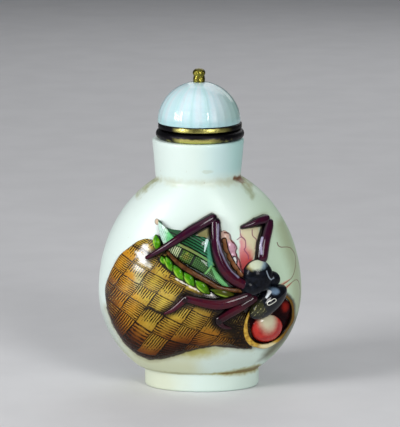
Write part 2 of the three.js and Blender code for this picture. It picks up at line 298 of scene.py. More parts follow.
def wall_ovals():
    """The wall's ovals as middle, level, half width and half depth, from under the foot to the cavity."""
    ovals = []
    inner_width, inner_depth = FOOT_HALF_WIDTH - FOOT_RING, FOOT_HALF_DEPTH - FOOT_RING
    for share in (0.01, 0.5, 0.85):
        ovals.append((FOOT_MIDDLE, FOOT_HOLLOW, inner_width * share, inner_depth * share))
    for rise, reach in arc(4):
        shrink = FOOT_EDGE * reach
        ovals.append((FOOT_MIDDLE, FOOT_HOLLOW * (1 - rise), inner_width - shrink, inner_depth - shrink))
    flat_width, flat_depth = FOOT_HALF_WIDTH - FOOT_EDGE, FOOT_HALF_DEPTH - FOOT_EDGE
    ovals.append((FOOT_MIDDLE, 0, flat_width, flat_depth))
    for swell, drop in arc(5):
        grow = FOOT_EDGE * swell
        ovals.append((FOOT_MIDDLE, FOOT_EDGE * (1 - drop), flat_width + grow, flat_depth + grow))
    for level in between(FOOT_EDGE, FOOT_HEIGHT - CREASE, 4)[1:]:
        ovals.append((FOOT_MIDDLE, level, FOOT_HALF_WIDTH, FOOT_HALF_DEPTH))

    lowest = -math.asin((WIDEST_LEVEL - FOOT_HEIGHT - CREASE) / BOWL_DROP)
    highest = math.asin((NECK_LEVEL - CREASE - WIDEST_LEVEL) / FRONT_ARCH)
    body = []
    for angle in between(lowest, highest, 56):
        level = WIDEST_LEVEL + math.sin(angle) * (FRONT_ARCH if angle > 0 else BOWL_DROP)
        body.append((0, level, *body_at(level)))
    ovals.extend(bend(ovals[-1], body[0], FOOT_HEIGHT, FOOT_HALF_WIDTH, FOOT_HALF_DEPTH))
    ovals.extend(body)
    neck = []
    for level in between(NECK_LEVEL + CREASE, LIP_LEVEL - LIP_EDGE, 8):
        share = (level - NECK_LEVEL) / (LIP_LEVEL - LIP_EDGE - NECK_LEVEL)
        radius = NECK_RADIUS + (LIP_RADIUS - NECK_RADIUS) * share
        neck.append((NECK_MIDDLE, level, radius, radius))
    ovals.extend(bend(body[-1], neck[0], NECK_LEVEL, NECK_RADIUS, NECK_RADIUS))
    ovals.extend(neck)
    for rise, reach in arc(5):
        radius = LIP_RADIUS - LIP_EDGE * (1 - reach)
        ovals.append((NECK_MIDDLE, LIP_LEVEL - LIP_EDGE * (1 - rise), radius, radius))
    ovals.append((NECK_MIDDLE, LIP_LEVEL, BORE_RADIUS + LIP_EDGE, BORE_RADIUS + LIP_EDGE))
    for drop, reach in arc(4):
        radius = BORE_RADIUS + LIP_EDGE * (1 - drop)
        ovals.append((NECK_MIDDLE, LIP_LEVEL - LIP_EDGE * (1 - reach), radius, radius))
    for level in between(LIP_LEVEL - LIP_EDGE, BORE_FOOT, 4)[1:]:
        ovals.append((NECK_MIDDLE, level, BORE_RADIUS, BORE_RADIUS))

    inside_width, inside_depth = BODY_HALF_WIDTH - WALL, BODY_DEPTH - WALL
    for polar in between(math.asin(BORE_RADIUS / inside_depth), math.pi, 20)[1:-1]:
        arch = BORE_FOOT - WIDEST_LEVEL if polar < math.pi / 2 else WIDEST_LEVEL - CAVITY_FLOOR
        reach = math.sin(polar)
        ovals.append((0, WIDEST_LEVEL + math.cos(polar) * arch, inside_width * reach, inside_depth * reach))
    ovals.append((0, CAVITY_FLOOR, POLE, POLE))
    return ovals


def bend(start, end, level, half_width, half_depth):
    """Ovals round a corner between two ovals, with its point at the given level and sizes."""
    point = ((start[0] + end[0]) / 2, level, half_width, half_depth)
    ovals = []
    for share in (0.25, 0.5, 0.75):
        parts = ((1 - share) ** 2, 2 * share * (1 - share), share ** 2)
        ovals.append(tuple(sum(p * v for p, v in zip(parts, values)) for values in zip(start, point, end)))
    return ovals


def new_ring(name, sides):
    """A new piece that is one ring of vertices, all selected."""
    bpy.ops.object.select_all(action="DESELECT")
    bpy.ops.mesh.primitive_circle_add(vertices=sides, radius=1)
    piece = bpy.context.object
    piece.name = name
    return piece


def draw_through(name, ovals, sides):
    """A ring of vertices extruded from oval to oval, and closed at both ends."""
    piece = new_ring(name, sides)
    bpy.ops.object.mode_set(mode="EDIT")
    middle, level, half_width, half_depth = ovals[0]
    bpy.ops.transform.resize(value=(half_width, half_depth, 1))
    bpy.ops.transform.translate(value=(middle, 0, level))
    for last, now in zip(ovals, ovals[1:]):
        growth = (now[2] / last[2], now[3] / last[3], 1)
        bpy.ops.mesh.extrude_region_move()
        bpy.ops.transform.resize(value=growth, center_override=(last[0], 0, last[1]))
        bpy.ops.transform.translate(value=(now[0] - last[0], 0, now[1] - last[1]))
    close_ends(piece, sides)
    return piece


def close_ends(piece, sides):
    """Draws the last ring and the first one together, each to a point, and turns all faces outwards."""
    bpy.ops.mesh.merge(type="CENTER")
    select_first(piece, sides)
    bpy.ops.mesh.merge(type="CENTER")
    bpy.ops.mesh.select_all(action="SELECT")
    bpy.ops.mesh.normals_make_consistent(inside=False)
    bpy.ops.object.mode_set(mode="OBJECT")


def select_first(piece, count):
    """Selects a mesh's oldest vertices, the ring that it was started from."""
    bpy.ops.mesh.select_all(action="DESELECT")
    bpy.ops.object.mode_set(mode="OBJECT")
    for vertex in piece.data.vertices[:count]:
        vertex.select = True
    bpy.ops.object.mode_set(mode="EDIT")


def through(points, count, closed=False):
    """Evenly spaced points on a smooth curve through the given ones."""
    last = len(points) if closed else len(points) - 1
    dense = []
    for span in range(last):
        if closed:
            a, b, c, d = (points[(span + shift) % len(points)] for shift in (-1, 0, 1, 2))
        else:
            a, b, c, d = (points[min(max(span + shift, 0), last)] for shift in (-1, 0, 1, 2))
        for step in range(CURVE_STEPS):
            t = step / CURVE_STEPS
            weights = (
                -0.5 * t + t ** 2 - 0.5 * t ** 3,
                1 - 2.5 * t ** 2 + 1.5 * t ** 3,
                0.5 * t + 2 * t ** 2 - 1.5 * t ** 3,
                -0.5 * t ** 2 + 0.5 * t ** 3,
            )
            dense.append([sum(w * v for w, v in zip(weights, values)) for values in zip(a, b, c, d)])
    dense.append(list(points[0] if closed else points[-1]))
    reaches = [0]
    for here, there in zip(dense, dense[1:]):
        reaches.append(reaches[-1] + math.dist(here[:2], there[:2]))
    spaced = []
    span = 0
    for step in range(count):
        reach = reaches[-1] * step / (count if closed else count - 1)
        while span < len(dense) - 2 and reaches[span + 1] < reach:
            span += 1
        share = (reach - reaches[span]) / max(reaches[span + 1] - reaches[span], 1e-9)
        spaced.append([p + (q - p) * share for p, q in zip(dense[span], dense[span + 1])])
    return spaced


def map_picture(piece, places):
    """Maps each corner: "picture" holds its flat place, and "form" how far the surface there faces out."""
    picture = piece.data.uv_layers.new(name="picture").data
    form = piece.data.uv_layers.new(name="form").data
    for loop in piece.data.loops:
        x, level, crest = places[loop.vertex_index]
        picture[loop.index].uv = (x, level)
        form[loop.index].uv = (crest, 0)


def read_maps(brush):
    """Marks for a flat place, its x, its level, and how far the surface there faces out."""
    place = brush.node("ShaderNodeUVMap", {"uv_map": "picture"}, {})
    form = brush.node("ShaderNodeUVMap", {"uv_map": "form"}, {})
    return place, place.part(0), place.part(1), form.part(0)


def to_metres(piece):
    """Takes a piece from millimetres round the bottle's axis to its place in metres."""
    for vertex in piece.data.vertices:
        vertex.co = vertex.co * MM + Vector((0, AXIS_Y, 0))


def girths(stations):
    """A leg's stations as points of x, level and radius, to paint along its outline."""
    return [(x, level, radius) for x, level, lift, radius in stations]


def strokes(color, place, grain, rows, mask=1.0):
    """Paints strokes over a colour, in order. Each is a line or an oval, how uneven it is, and its coats:
    where a coat ends, where it is full, its strength and its colour."""
    for shape, rough, *coats in rows:
        edge = (place.line(shape) if isinstance(shape, list) else place.spot(*shape)) + rough * grain
        for end, full, strength, paint in coats:
            color = (strength * edge.ramp(end, full) * mask).mix(color, ink(*paint))
    return color


bottle = draw_through("bottle_wall", wall_ovals(), WALL_SIDES)
map_picture(bottle, [(vertex.co.x, vertex.co.z, -vertex.normal.y) for vertex in bottle.data.vertices])
to_metres(bottle)

# Lines of the picture that the wall's paint follows, as places of x and level. The legs' stations, with lift
# and radius, stand here too, because the wall is painted along the legs with dark outlines and painted
# shadow.
THIGHS = [
    [(9.2, 24.8, 1.1, 1.2), (5.6, 27.4, 1.2, 1.3), (3.5, 32, 1.1, 1.2), (3.1, 38.0, 0.8, 1.15)],
    [(9.6, 22.6, 1.4, 1.15), (3.8, 21.2, 1.6, 1.3), (-2.5, 22.5, 1.9, 0.95)],
    [(10.8, 21.9, 1.2, 1.05), (7, 19.8, 1.3, 1.15), (3.9, 17.9, 1.4, 0.95)],
    [(12.9, 30.2, 0.6, 1.15), (13.3, 33.2, 0.5, 1.2), (14.1, 36.0, 0.4, 1.1), (14.3, 36.9, 0.4, 0.95)],
]
SHINS = [
    [(2.5, 38.9, 0.8, 1.05), (-2, 36.3, 1.6, 1.0), (-6, 33.5, 1.9, 0.75), (-10.7, 30.5, 1.5, 0.4)],
    [(-2.9, 22.4, 1.9, 0.85), (-5.2, 20.3, 2.1, 0.6), (-7, 19.3, 2.1, 0.3)],
    [(3.8, 17.5, 1.4, 0.8), (4.8, 16.4, 1.2, 0.6), (6.8, 15.7, 0.9, 0.35)],
    [(13.5, 37.8, 0.4, 1.0), (11.8, 37.6, 0.4, 0.85), (10.3, 37.2, 0.3, 0.55), (8.9, 36.9, 0.2, 0.25)],
]
FAN_SPINE = [(9.4, 27.6, 0.9), (10.1, 31.5, 1.8), (10.6, 35.6, 2.1)]
FRILL_EDGE = [
    (5.1, 36.0), (6.1, 35.8), (6.5, 35.0), (6.6, 34.1), (7.3, 33.6), (7.8, 32.7), (7.5, 31.9), (7.8, 30.8),
    (8.3, 30.2), (8.4, 29.1), (8.9, 27.8), (9.4, 26.9),
]
FAN_VEINS = [
    [(8.5, 36.6), (8.7, 35.1), (9.6, 34.2), (9.7, 32.6), (9.4, 32.2), (10.2, 31.1), (10.3, 30.2)],
    [(11.1, 36.2), (11.2, 35.0), (12.0, 34.1), (12.0, 33.4), (11.7, 32.2)],
    [(7.9, 34.4), (8.8, 34.9), (9.6, 34.2)],
]
FEELERS = [
    [
        (16.5, 32.9), (17.0, 31.9), (18.7, 31.5), (19.7, 30.8), (20.5, 29.2), (20.6, 27.4), (20.2, 25.7),
        (19.5, 24.7), (17.7, 23.9),
    ],
    [(18.4, 23.0), (19.8, 23.9), (20.7, 24.2), (21.3, 23.4), (21.6, 21.9), (21.6, 20.0), (21.3, 17.4)],
]
FEELER_ROOTS = [[(17.4, 23.8, 0.25), (19.2, 24.6, 0.0)], [(18.2, 22.9, 0.3), (19.6, 23.8, 0.0)]]
RIM_SHADOW = [
    (15.6, 22.6), (18.2, 21.8), (19.85, 19.6), (20.05, 16.6), (18.75, 13.5), (16.3, 11.3), (13.4, 10.4),
]
RIGHT_EDGE = [(17.6, 36.0), (20.6, 27.0), (21.2, 19.0), (19.0, 12.0), (15.5, 8.0)]
LOW_EDGE = [(20.0, 15.0, 0), (17.6, 11.2, 0), (14.2, 7.6, -0.7), (11.5, 5.8, -2.2)]
LEFT_EDGE = [(-21.6, 20.0, -1.2), (-20.6, 14.5, 0), (-18.4, 10.3, 0), (-14.8, 6.6, -1.0)]
NECK_SMEAR = [(9.2, 45.2), (10.3, 43.9), (11.4, 42.6)]
FEMUR_SHADE_LINE = [(4.7, 35.4, 0.2), (5.0, 32.6, 0.5), (6.0, 29.9, 0.5), (8.0, 27.2, 0.3)]
FOOT_SMEAR = [(1.0, 4.1, -0.6), (6.0, 4.2, 0.1), (9.0, 4.3, 0.4), (12.4, 4.5, 0.5)]
GOURD_BASE_LINE = [
    (-19.8, 18.2), (-18.5, 14.5), (-16.2, 10.8), (-13.4, 8.4), (-10.8, 7.6), (-7.3, 8.4), (-3.2, 10.1),
    (0, 11.1), (3.2, 11.6), (10.9, 10.4),
]
SHOULDER_STAINS = [[(-8.4, 46.1), (-9.9, 45.2), (-11.2, 44.1), (-13.3, 42.2)], [(9.4, 45.4), (10.9, 44.2)]]

porcelain, porcelain_shader, brush = finish("white_porcelain", roughness=0.4, coat=0.05)
place, x, level, crest = read_maps(brush)
front = crest.ramp(0.0, 0.2)
spot_place = brush.node("ShaderNodeTexCoord", {}, {}, output="Object")
depth = (spot_place.part(1) - AXIS_Y) / MM
soft = spot_place.cloud(120.0)
fine = spot_place.cloud(900.0, 5.0)
grain = fine - 0.5
glaze = (x + 20 * (soft - 0.5)).ramp(-12, 18).mix(ink(223, 238, 232), ink(218, 238, 226))
# The body's right side is painted greener and darker: partly the glaze's tint, partly painted shade.
glaze = (crest.ramp(-0.9, 0.5) * x.ramp(5, 17) * level.ramp(10, 20)).mix(glaze, ink(206, 231, 202))
# The neck is tinted bluer right of its middle, and painted shade darkens it towards its right side.
glaze = (0.8 * x.ramp(-2, 5) * level.ramp(46, 49)).mix(glaze, ink(206, 238, 238))
glaze = (x.ramp(4, 9) * level.ramp(46, 49)).mix(glaze, ink(176, 220, 214))
belly_wash = level.ramp(13.0, 6.0) * level.ramp(3.8, 4.6) * (x + 10 * (soft - 0.5)).ramp(4, -4)
glaze = (0.75 * belly_wash * crest.ramp(-0.6, 0.2)).mix(glaze, ink(206, 208, 164))
# Painted shade along the body's right, lower and left edges, browner along the lower right.
right_edge_shade = (RIGHT_EDGE, 0.6, (2.6, 0.0, 0.55, (152, 158, 108)))
low_edge_shade = (LOW_EDGE, 0.5, (2.7, 0.0, 0.92, (80, 74, 42)))
left_edge_shade = (LEFT_EDGE, 0.5, (1.8, 0.0, 0.5, (140, 146, 132)))
glaze = strokes(glaze, place, grain, [right_edge_shade], crest.ramp(-0.2, 0.3))
glaze = strokes(glaze, place, grain, [low_edge_shade], crest.ramp(-0.1, 0.2))
glaze = strokes(glaze, place, grain, [left_edge_shade], crest.ramp(-0.2, 0.2))
neck_dirt = (abs(level - 46.0) + 1.6 * grain).ramp(1.4, 0.0) * soft.ramp(0.4, 0.62)
glaze = (0.35 * neck_dirt).mix(glaze, ink(174, 164, 96))
side = (abs(depth) + 6 * grain).ramp(6.0, 1.0)
stains = [(stain, 0.9, (1.0, -0.2, 0.75, (152, 150, 70))) for stain in SHOULDER_STAINS]
glaze = strokes(glaze, place, grain, stains, side)
neck_spots = [
    (NECK_SMEAR, 0.9, (0.9, 0.0, 0.6, (136, 142, 76))),
    ([(7.6, 46.4), (9.2, 45.7)], 1.2, (0.75, 0.1, 0.95, (112, 66, 28))),
    ((1.6, 48.6, 1.6, 0.5), 2.0, (1.0, 0.4, 0.25, (160, 164, 110))),
]
glaze = strokes(glaze, place, grain, neck_spots, front)
foot_wash = level.ramp(5.0, 3.6) * (x + 8 * (soft - 0.5)).ramp(0, -9)
glaze = (0.55 * foot_wash).mix(glaze, ink(216, 216, 176))
foot_line = (abs(level - 4.2) + 0.5 * grain).ramp(0.45, 0.05) * soft.ramp(0.25, 0.5)
glaze = (0.6 * foot_line).mix(glaze, ink(150, 142, 80))
foot_and_gourd = [
    (FOOT_SMEAR, 1.0, (1.0, 0.1, 0.7, (158, 146, 34)), (0.3, -0.15, 0.8, (112, 82, 4))),
    ((-1.0, 10.2, 8.0, 2.6), 0.45, (1.1, 0.1, 0.9, (176, 168, 72))),
    (GOURD_BASE_LINE, 0.5, (1.6, 0.2, 0.5, (150, 138, 70)), (0.55, 0.2, 1, (48, 30, 12))),
]
above_wing = [
    ((-9.1, 38.0, 0.55, 0.6), 0.5, (1.3, 0.9, 0.8, (120, 84, 50)), (0.9, 0.5, 0.8, (206, 170, 120))),
    ((0.8, 36.2, 1.7, 1.5), 0, (1.1, 0.7, 1, (176, 170, 104))),
]
glaze = strokes(glaze, place, grain, foot_and_gourd + above_wing, front)
fan = (place.line(FAN_SPINE) + 0.8 * grain).ramp(0.25, -0.35) * front
fan_color = (level - 0.5 * x + 2 * grain).ramp(24.5, 29.0).mix(ink(190, 10, 22), ink(220, 134, 140))
fan_color = (level + 1.6 * x + 2 * grain).ramp(47.0, 51.0).mix(fan_color, ink(216, 208, 168))
glaze = (0.95 * fan).mix(glaze, fan_color)
veins = [(through(vein, 16), 0.1, (0.17, 0.04, 0.85, (128, 46, 88))) for vein in FAN_VEINS]
frill_outline = (through(FRILL_EDGE, 26), 0.2, (0.26, 0.1, 0.9, (92, 22, 26)))
# Dark lines: painted shade of the hind thigh in the gap before the frill, a dark patch where the head, leg
# and rim meet, and the rim's shadow.
dark_lines = [
    (FEMUR_SHADE_LINE, 0, (0.3, 0.1, 1, (30, 18, 20))),
    ((10.3, 18.9, 1.5, 1.7), 0.5, (1.2, 0.9, 1, (24, 16, 10))),
    (through(RIM_SHADOW, 18), 0.3, (0.75, 0.15, 0.9, (48, 34, 18))),
]
roots = [(root, 0.2, (0.25, 0.0, 0.75, (222, 146, 108))) for root in FEELER_ROOTS]
glaze = strokes(glaze, place, grain, veins + [frill_outline] + dark_lines + roots, front)
for feeler in FEELERS:
    stroke = place.line(through(feeler, 18))
    glaze = (0.85 * (stroke / crest.most(0.2)).ramp(0.2, 0.06) * front).mix(glaze, ink(104, 40, 30))
# Along the legs the wall gets a faint brown halo, which is painted shadow, and a thin black outline.
coats = [(0.9, 0.0, 0.35, (150, 134, 92)), (0.28, 0.1, 0.95, (26, 14, 14))]
beside = [(girths(stations), 0.3, *coats) for stations in (THIGHS[0], THIGHS[3], SHINS[0], SHINS[3])]
glaze = strokes(glaze, place, grain, beside, front)
specks = spot_place.cloud(1600.0, 2.0).ramp(0.73, 0.78) * soft.ramp(0.45, 0.6)
glaze = (0.5 * specks).mix(glaze, ink(150, 136, 90))
lay(porcelain_shader, brush, glaze, spot_place.cloud(350.0, 2.0), 0.00004)
bottle.data.materials.append(porcelain)


# Gourd cage: the low bulb at the left of the picture, moulded with the wall and enamelled as plaited
# straw, golden on its crown and dark red-brown towards its edges, with painted highlights on its upper
# left and painted shade beside the legs. Each strand is a small pillow.
ROOT = 1.6
GOURD_RISE = 2.1
GOURD_MIDDLE = (-10, 21)
GOURD_OUTLINE = [
    (-10.4, 34.3), (-12.8, 33.9), (-14.9, 32.3), (-17.1, 30.2), (-18.7, 27.3), (-20.0, 23.9),
    (-20.3, 21.6), (-19.8, 18.2), (-18.5, 14.5), (-16.2, 10.8), (-13.4, 8.4), (-10.8, 7.6),
    (-7.3, 8.4), (-3.2, 10.1), (0, 11.1), (3.2, 11.6), (7.5, 11.2), (10.9, 10.4),
    (11.2, 14.0), (9.4, 19), (6.3, 21.8), (2.1, 25.1), (-2.1, 28.3), (-6.3, 32.4),
]
LEAF_EDGE = [(-8.4, 30.3), (-7.2, 29.0), (-5.4, 27.5), (-3.2, 26.0), (-1.0, 25.0), (1.0, 23.8), (2.9, 23.2)]
STEEP_PITCH = 3.8
STEEP_START = -24.18
LEVEL_PITCH = 3.4
LEVEL_START = 20.85
STEEP_WAY = (0.82, -0.572)
LEVEL_WAY = (0.423, 0.906)
LOW_FLATTENING = 0.75
GOURD_POINTS = 230
GOURD_RINGS = 56
STRAND_RISE = 0.07
STRAND_FOOT = 0.3
STRAWS = 8


def on_front(x, level, lift):
    """The point on the bottle's front at a flat place, raised along the wall's normal, in metres."""
    half_width, half_depth = body_at(level)
    step = 0.1
    above, below = body_at(level + step), body_at(level - step)
    side = min(max(x / half_width, -0.99), 0.99)
    y = -half_depth * math.sqrt(1 - side ** 2)
    narrowing = (above[0] - below[0]) / (2 * step * half_width)
    thinning = (above[1] - below[1]) / (2 * step * half_depth)
    slope = -(side ** 2) * narrowing - (1 - side ** 2) * thinning
    normal = Vector((x / half_width ** 2, y / half_depth ** 2, slope)).normalized()
    return MM * (Vector((x, y, level)) + lift * normal) + Vector((0, AXIS_Y, 0))


def swelling(name, outline, middle, base, rise, rings):
    """A raised form, drawn flat: its outline is extruded ring by ring towards the middle as it rises."""
    piece = new_ring(name, len(outline))
    for vertex, (x, level) in zip(piece.data.vertices, outline):
        vertex.co = (x, -base, level)
    bpy.ops.object.mode_set(mode="EDIT")
    bpy.ops.mesh.select_all(action="SELECT")
    reach, lift = 1, base
    for step in range(1, rings + 1):
        angle = math.pi / 2 * step / rings
        closer, higher = max(math.cos(angle), 0.01), base + rise * math.sin(angle)
        shrink = closer / reach
        bpy.ops.mesh.extrude_region_move()
        bpy.ops.transform.resize(value=(shrink, 1, shrink), center_override=(middle[0], -lift, middle[1]))
        bpy.ops.transform.translate(value=(0, lift - higher, 0))
        reach, lift = closer, higher
    bpy.ops.mesh.merge(type="CENTER")
    select_first(piece, len(outline))
    bpy.ops.mesh.extrude_region_move()
    bpy.ops.transform.translate(value=(0, base + ROOT, 0))
    bpy.ops.mesh.edge_face_add()
    bpy.ops.mesh.select_all(action="SELECT")
    bpy.ops.mesh.normals_make_consistent(inside=False)
    bpy.ops.object.mode_set(mode="OBJECT")
    return piece


def lay_on_front(piece, material):
    """Maps a flat form, wraps it round the bottle's front, and gives it its enamel."""
    flat = [(vertex.co.copy(), -vertex.normal.y) for vertex in piece.data.vertices]
    map_picture(piece, [(co.x, co.z, crest) for co, crest in flat])
    for vertex, (co, crest) in zip(piece.data.vertices, flat):
        vertex.co = on_front(co.x, co.z, -co.y)
    piece.data.materials.append(material)
    relief.append(piece)


def weave_at(x, level, lowness):
    """Which strand a flat place is on, counted across the steep strands and up the level ones."""
    steep = (STEEP_WAY[0] * x + STEEP_WAY[1] * level - STEEP_START) / STEEP_PITCH
    slant = LEVEL_WAY[0] * x * (1 - LOW_FLATTENING * lowness)
    flat = (LEVEL_WAY[1] * level + slant - LEVEL_START) / LEVEL_PITCH
    return steep, flat


relief = []
gourd_outline = through(GOURD_OUTLINE, GOURD_POINTS, closed=True)
gourd = swelling("gourd", gourd_outline, GOURD_MIDDLE, 0, GOURD_RISE, GOURD_RINGS)
for vertex in gourd.data.vertices:
    if -vertex.co.y > STRAND_FOOT:
        steep, flat = weave_at(vertex.co.x, vertex.co.z, min(max((20 - vertex.co.z) / 12, 0), 1))
        runs_level = (math.floor(steep) + math.floor(flat)) % 2
        along, across = (steep % 1, flat % 1) if runs_level else (flat % 1, steep % 1)
        pillow = (1 - (2 * along - 1) ** 2) * (1 - 0.5 * (2 * across - 1) ** 2)
        vertex.co.y -= STRAND_RISE * (pillow - 0.6) * min((-vertex.co.y - STRAND_FOOT) / 0.8, 1)

straw, straw_shader, brush = finish("plaited_straw", roughness=0.25, coat=0.85, specular=0.05)
place, x, level, crest = read_maps(brush)
soft = place.cloud(0.22)
fine = place.cloud(1.8, 4.0)
grain = fine - 0.5
lowness = 1 - level.ramp(8, 20)
steep, flat = weave_at(x + 0.5 * (place.cloud(0.5) - 0.5), level + 0.5 * (place.cloud(0.4) - 0.5), lowness)
runs_level = 2 * ((steep.floor() + flat.floor()) / 2).fraction()
along = flat.fraction() + runs_level * (steep.fraction() - flat.fraction())
across = steep.fraction() + runs_level * (flat.fraction() - steep.fraction())
ends = abs(2 * along - 1)
sides = abs(2 * across - 1)
strand = brush.node("ShaderNodeCombineXYZ", {}, {0: steep.floor(), 1: flat.floor()})
tint = brush.node("ShaderNodeTexWhiteNoise", {"noise_dimensions": "2D"}, {"Vector": strand})
straws = abs(2 * (across * STRAWS + 0.5 * fine).fraction() - 1)
dashes = (along + 1.3 * grain).ramp(0.22, 0.5)
full = fine.ramp(0.32, 0.42) * (0.55 + 0.45 * ends.ramp(0.1, 0.6))
scratch = straws.ramp(0.34, 0.68) * (dashes + runs_level * (full - dashes))
seam = sides.ramp(0.9, 0.98).most(ends.ramp(0.92, 0.99)) * fine.ramp(0.25, 0.45)
gold = (soft + 0.5 * grain).ramp(0.38, 0.62).mix(ink(216, 190, 72), ink(182, 152, 50))
gold = (x + 16 * (soft - 0.5)).ramp(-10, -16).mix(gold, ink(220, 154, 26))
gold = (0.55 * tint * (0.4 + 0.6 * sides.ramp(0.1, 0.9))).mix(gold, ink(134, 88, 20))
gold = (0.3 * ends).mix(gold, ink(120, 66, 14))
shade = 22 * (tint - 0.5) + 12 * (soft - 0.5) + 5 * grain
gold = (0.8 * (level + 0.25 * shade).ramp(20, 9)).mix(gold, ink(122, 56, 10))
gold = (0.75 * (x + 0.1 * shade).ramp(-6, 3)).mix(gold, ink(116, 74, 20))
warm = ((1.0, 14.0, 6.0, 2.6), 1.2, (1.1, 0.3, 0.55, (176, 112, 30)))
# A broad painted shade round the mid leg's foot.
shade_round_tarsus = ((-10.5, 19.5, 4.5, 3.0), 1.2, (1.1, 0.3, 0.4, (96, 62, 16)))
gold = strokes(gold, place, grain, [warm, shade_round_tarsus])
shore = place.line(GOURD_OUTLINE[6:14]) + 0.13 * shade
gold = (0.75 * shore.ramp(6.5, 2.0)).mix(gold, ink(126, 58, 8))
gold = (0.95 * shore.ramp(4.6, 0.6)).mix(gold, ink(42, 12, 5))
edge_dark = (1 - (crest + 0.3 * grain).ramp(0.25, 0.93)) * (0.4 + 0.6 * (1 - level.ramp(16, 27)))
gold = (0.95 * edge_dark).mix(gold, ink(46, 13, 6))
# A painted highlight, pale green-white, trailing down from the shine on the gourd's upper left.
highlight_tail = ((-12.3, 26.0, 1.3, 3.2), 0.6, (1.1, 0.2, 0.5, (206, 212, 160)))
gold = strokes(gold, place, grain, [highlight_tail])
neck_dark = (x + 0.35 * level + 3 * grain).ramp(8.0, 12.5)
glints = place.cloud(2.6, 4.0).ramp(0.56, 0.66)
gold = (0.95 * neck_dark * (1 - 0.6 * glints)).mix(gold, ink(22, 13, 6))
# Painted highlights along the middle of the straws, on the upper part of the gourd.
straw_highlights = straws.ramp(0.35, 0.0) * fine.ramp(0.45, 0.6) * level.ramp(13, 21)
gold = (0.4 * straw_highlights).mix(gold, ink(242, 216, 112))
gold = (0.95 * scratch).mix(gold, ink(24, 14, 4))
gold = (0.95 * seam).mix(gold, ink(16, 8, 3))
shines = [
    ([(-13.0, 31.4, 0.2), (-11.6, 30.2, 0.7), (-10.2, 28.9, 0.5)], 1.2, (0.3, -0.3, 0.7, (244, 244, 232))),
    ((-11.2, 32.8, 0.8, 0.6), 1, (1.1, 0.5, 0.7, (244, 244, 232))),
]
foot_and_cap = [
    ([(-11.0, 19.9), (-9.9, 20.3), (-8.8, 19.6), (-7.2, 19.2)], 0.5, (0.5, 0.1, 0.9, (14, 12, 12))),
    ([(-14.2, 32.7), (-11.9, 31.9), (-10.0, 31.2)], 0.3, (0.32, 0.1, 0.9, (40, 22, 6))),
]
# Beside the legs that cross the gourd the straw is painted dark: painted shadow.
crossing = (THIGHS[1], THIGHS[2], SHINS[1], SHINS[2], SHINS[0][2:])
beside = [(girths(stations), 0.8, (1.4, 0.0, 0.9, (20, 12, 6))) for stations in crossing]
gold = strokes(gold, place, grain, shines + foot_and_cap + beside)
gold = (1 - crest.ramp(0.1, 0.4)).mix(gold, ink(20, 8, 4))
# A black outline under the abdomen, and just below it a thin painted highlight on the straw.
leaf_outline_and_glint = [
    (LEAF_EDGE, 0.4, (0.5, 0.2, 0.95, (14, 12, 5))),
    ([(-4.9, 26.5), (-2.2, 25.0), (-0.3, 24.0), (2.5, 23.0)], 0.6, (0.24, 0.05, 0.9, (240, 236, 220))),
]
gold = strokes(gold, place, grain, leaf_outline_and_glint)
lay(straw_shader, brush, gold, 1 - scratch - seam, 0.00004)
(0.1 + 0.8 * level.ramp(18, 27)).feed(straw_shader, "Coat Weight")
straw_shader.inputs["Coat Roughness"].default_value = 0.2
straw_shader.inputs["Coat IOR"].default_value = 1.75
lay_on_front(gourd, straw)


# Gourd mouth: a raised yellow rim round a dark red hollow, with a round red ball in it. All are
# moulded with the wall, and the rim is uneven, thick at the lower left and thin at the right. A glint is
# painted on the rim, the ball's cream middle is partly a painted highlight, and a painted shadow crosses
# the ball and the hollow at the upper right.
RIM_HALF_LENGTH = 5.95
RIM_HALF_WIDTH = 4.7
RIM_TURN = 55
RIM_MIDDLE = (14.5, 16.5)
RIM_THICKNESS = 1.3
RIM_THICKEST = math.radians(185)
HOLLOW_INSET = 0.2
HOLLOW_BASE = 0.05
HOLLOW_RISE = 0.2
BALL_MIDDLE = (14.2, 14.7)
BALL_SIZE = (3.35, 3.2)
BALL_RISE = 1.5


def oval(x, level, half_length, half_width, turn, count, point=0.0):
    """Points of an oval, turned by a number of degrees from level, with its ends drawn to a point."""
    lean = math.radians(turn)
    points = []
    for step in range(count):
        angle = 2 * math.pi * step / count
        along = half_length * math.cos(angle)
        across = half_width * math.sin(angle) * (1 - point * math.cos(angle) ** 2)
        points.append((
            x + along * math.cos(lean) - across * math.sin(lean),
            level + along * math.sin(lean) + across * math.cos(lean),
        ))
    return points


bpy.ops.object.select_all(action="DESELECT")
bpy.ops.mesh.primitive_torus_add(
    major_segments=110, minor_segments=16, major_radius=1, minor_radius=RIM_THICKNESS / 2 / RIM_HALF_LENGTH,
    rotation=(math.pi / 2, 0, 0),
)
rim = bpy.context.object
rim.name = "gourd_rim"
bpy.ops.object.transform_apply(location=False, rotation=True, scale=False)
for vertex in rim.data.vertices:
    turn = math.atan2(vertex.co.z, vertex.co.x)
    middle = Vector((math.cos(turn), 0, math.sin(turn)))
    lumps = 0.07 * math.sin(5 * turn + 1) + 0.06 * math.sin(9 * turn)
    girth = 0.8 + 0.3 * math.cos(turn - RIM_THICKEST) + lumps
    vertex.co = middle + (vertex.co - middle) * girth
    vertex.co.y += (1 - girth) * RIM_THICKNESS / 2 / RIM_HALF_LENGTH
bpy.ops.object.mode_set(mode="EDIT")
bpy.ops.mesh.select_all(action="SELECT")
bpy.ops.transform.resize(value=(RIM_HALF_LENGTH, RIM_HALF_LENGTH, RIM_HALF_WIDTH))
bpy.ops.transform.rotate(value=math.radians(RIM_TURN), orient_axis="Y", center_override=(0, 0, 0))
bpy.ops.transform.translate(value=(RIM_MIDDLE[0], -0.4 * RIM_THICKNESS, RIM_MIDDLE[1]))
bpy.ops.object.mode_set(mode="OBJECT")
rim_yellow, rim_shader, brush = finish("rim_yellow", roughness=0.22, coat=0.6, specular=0.05)
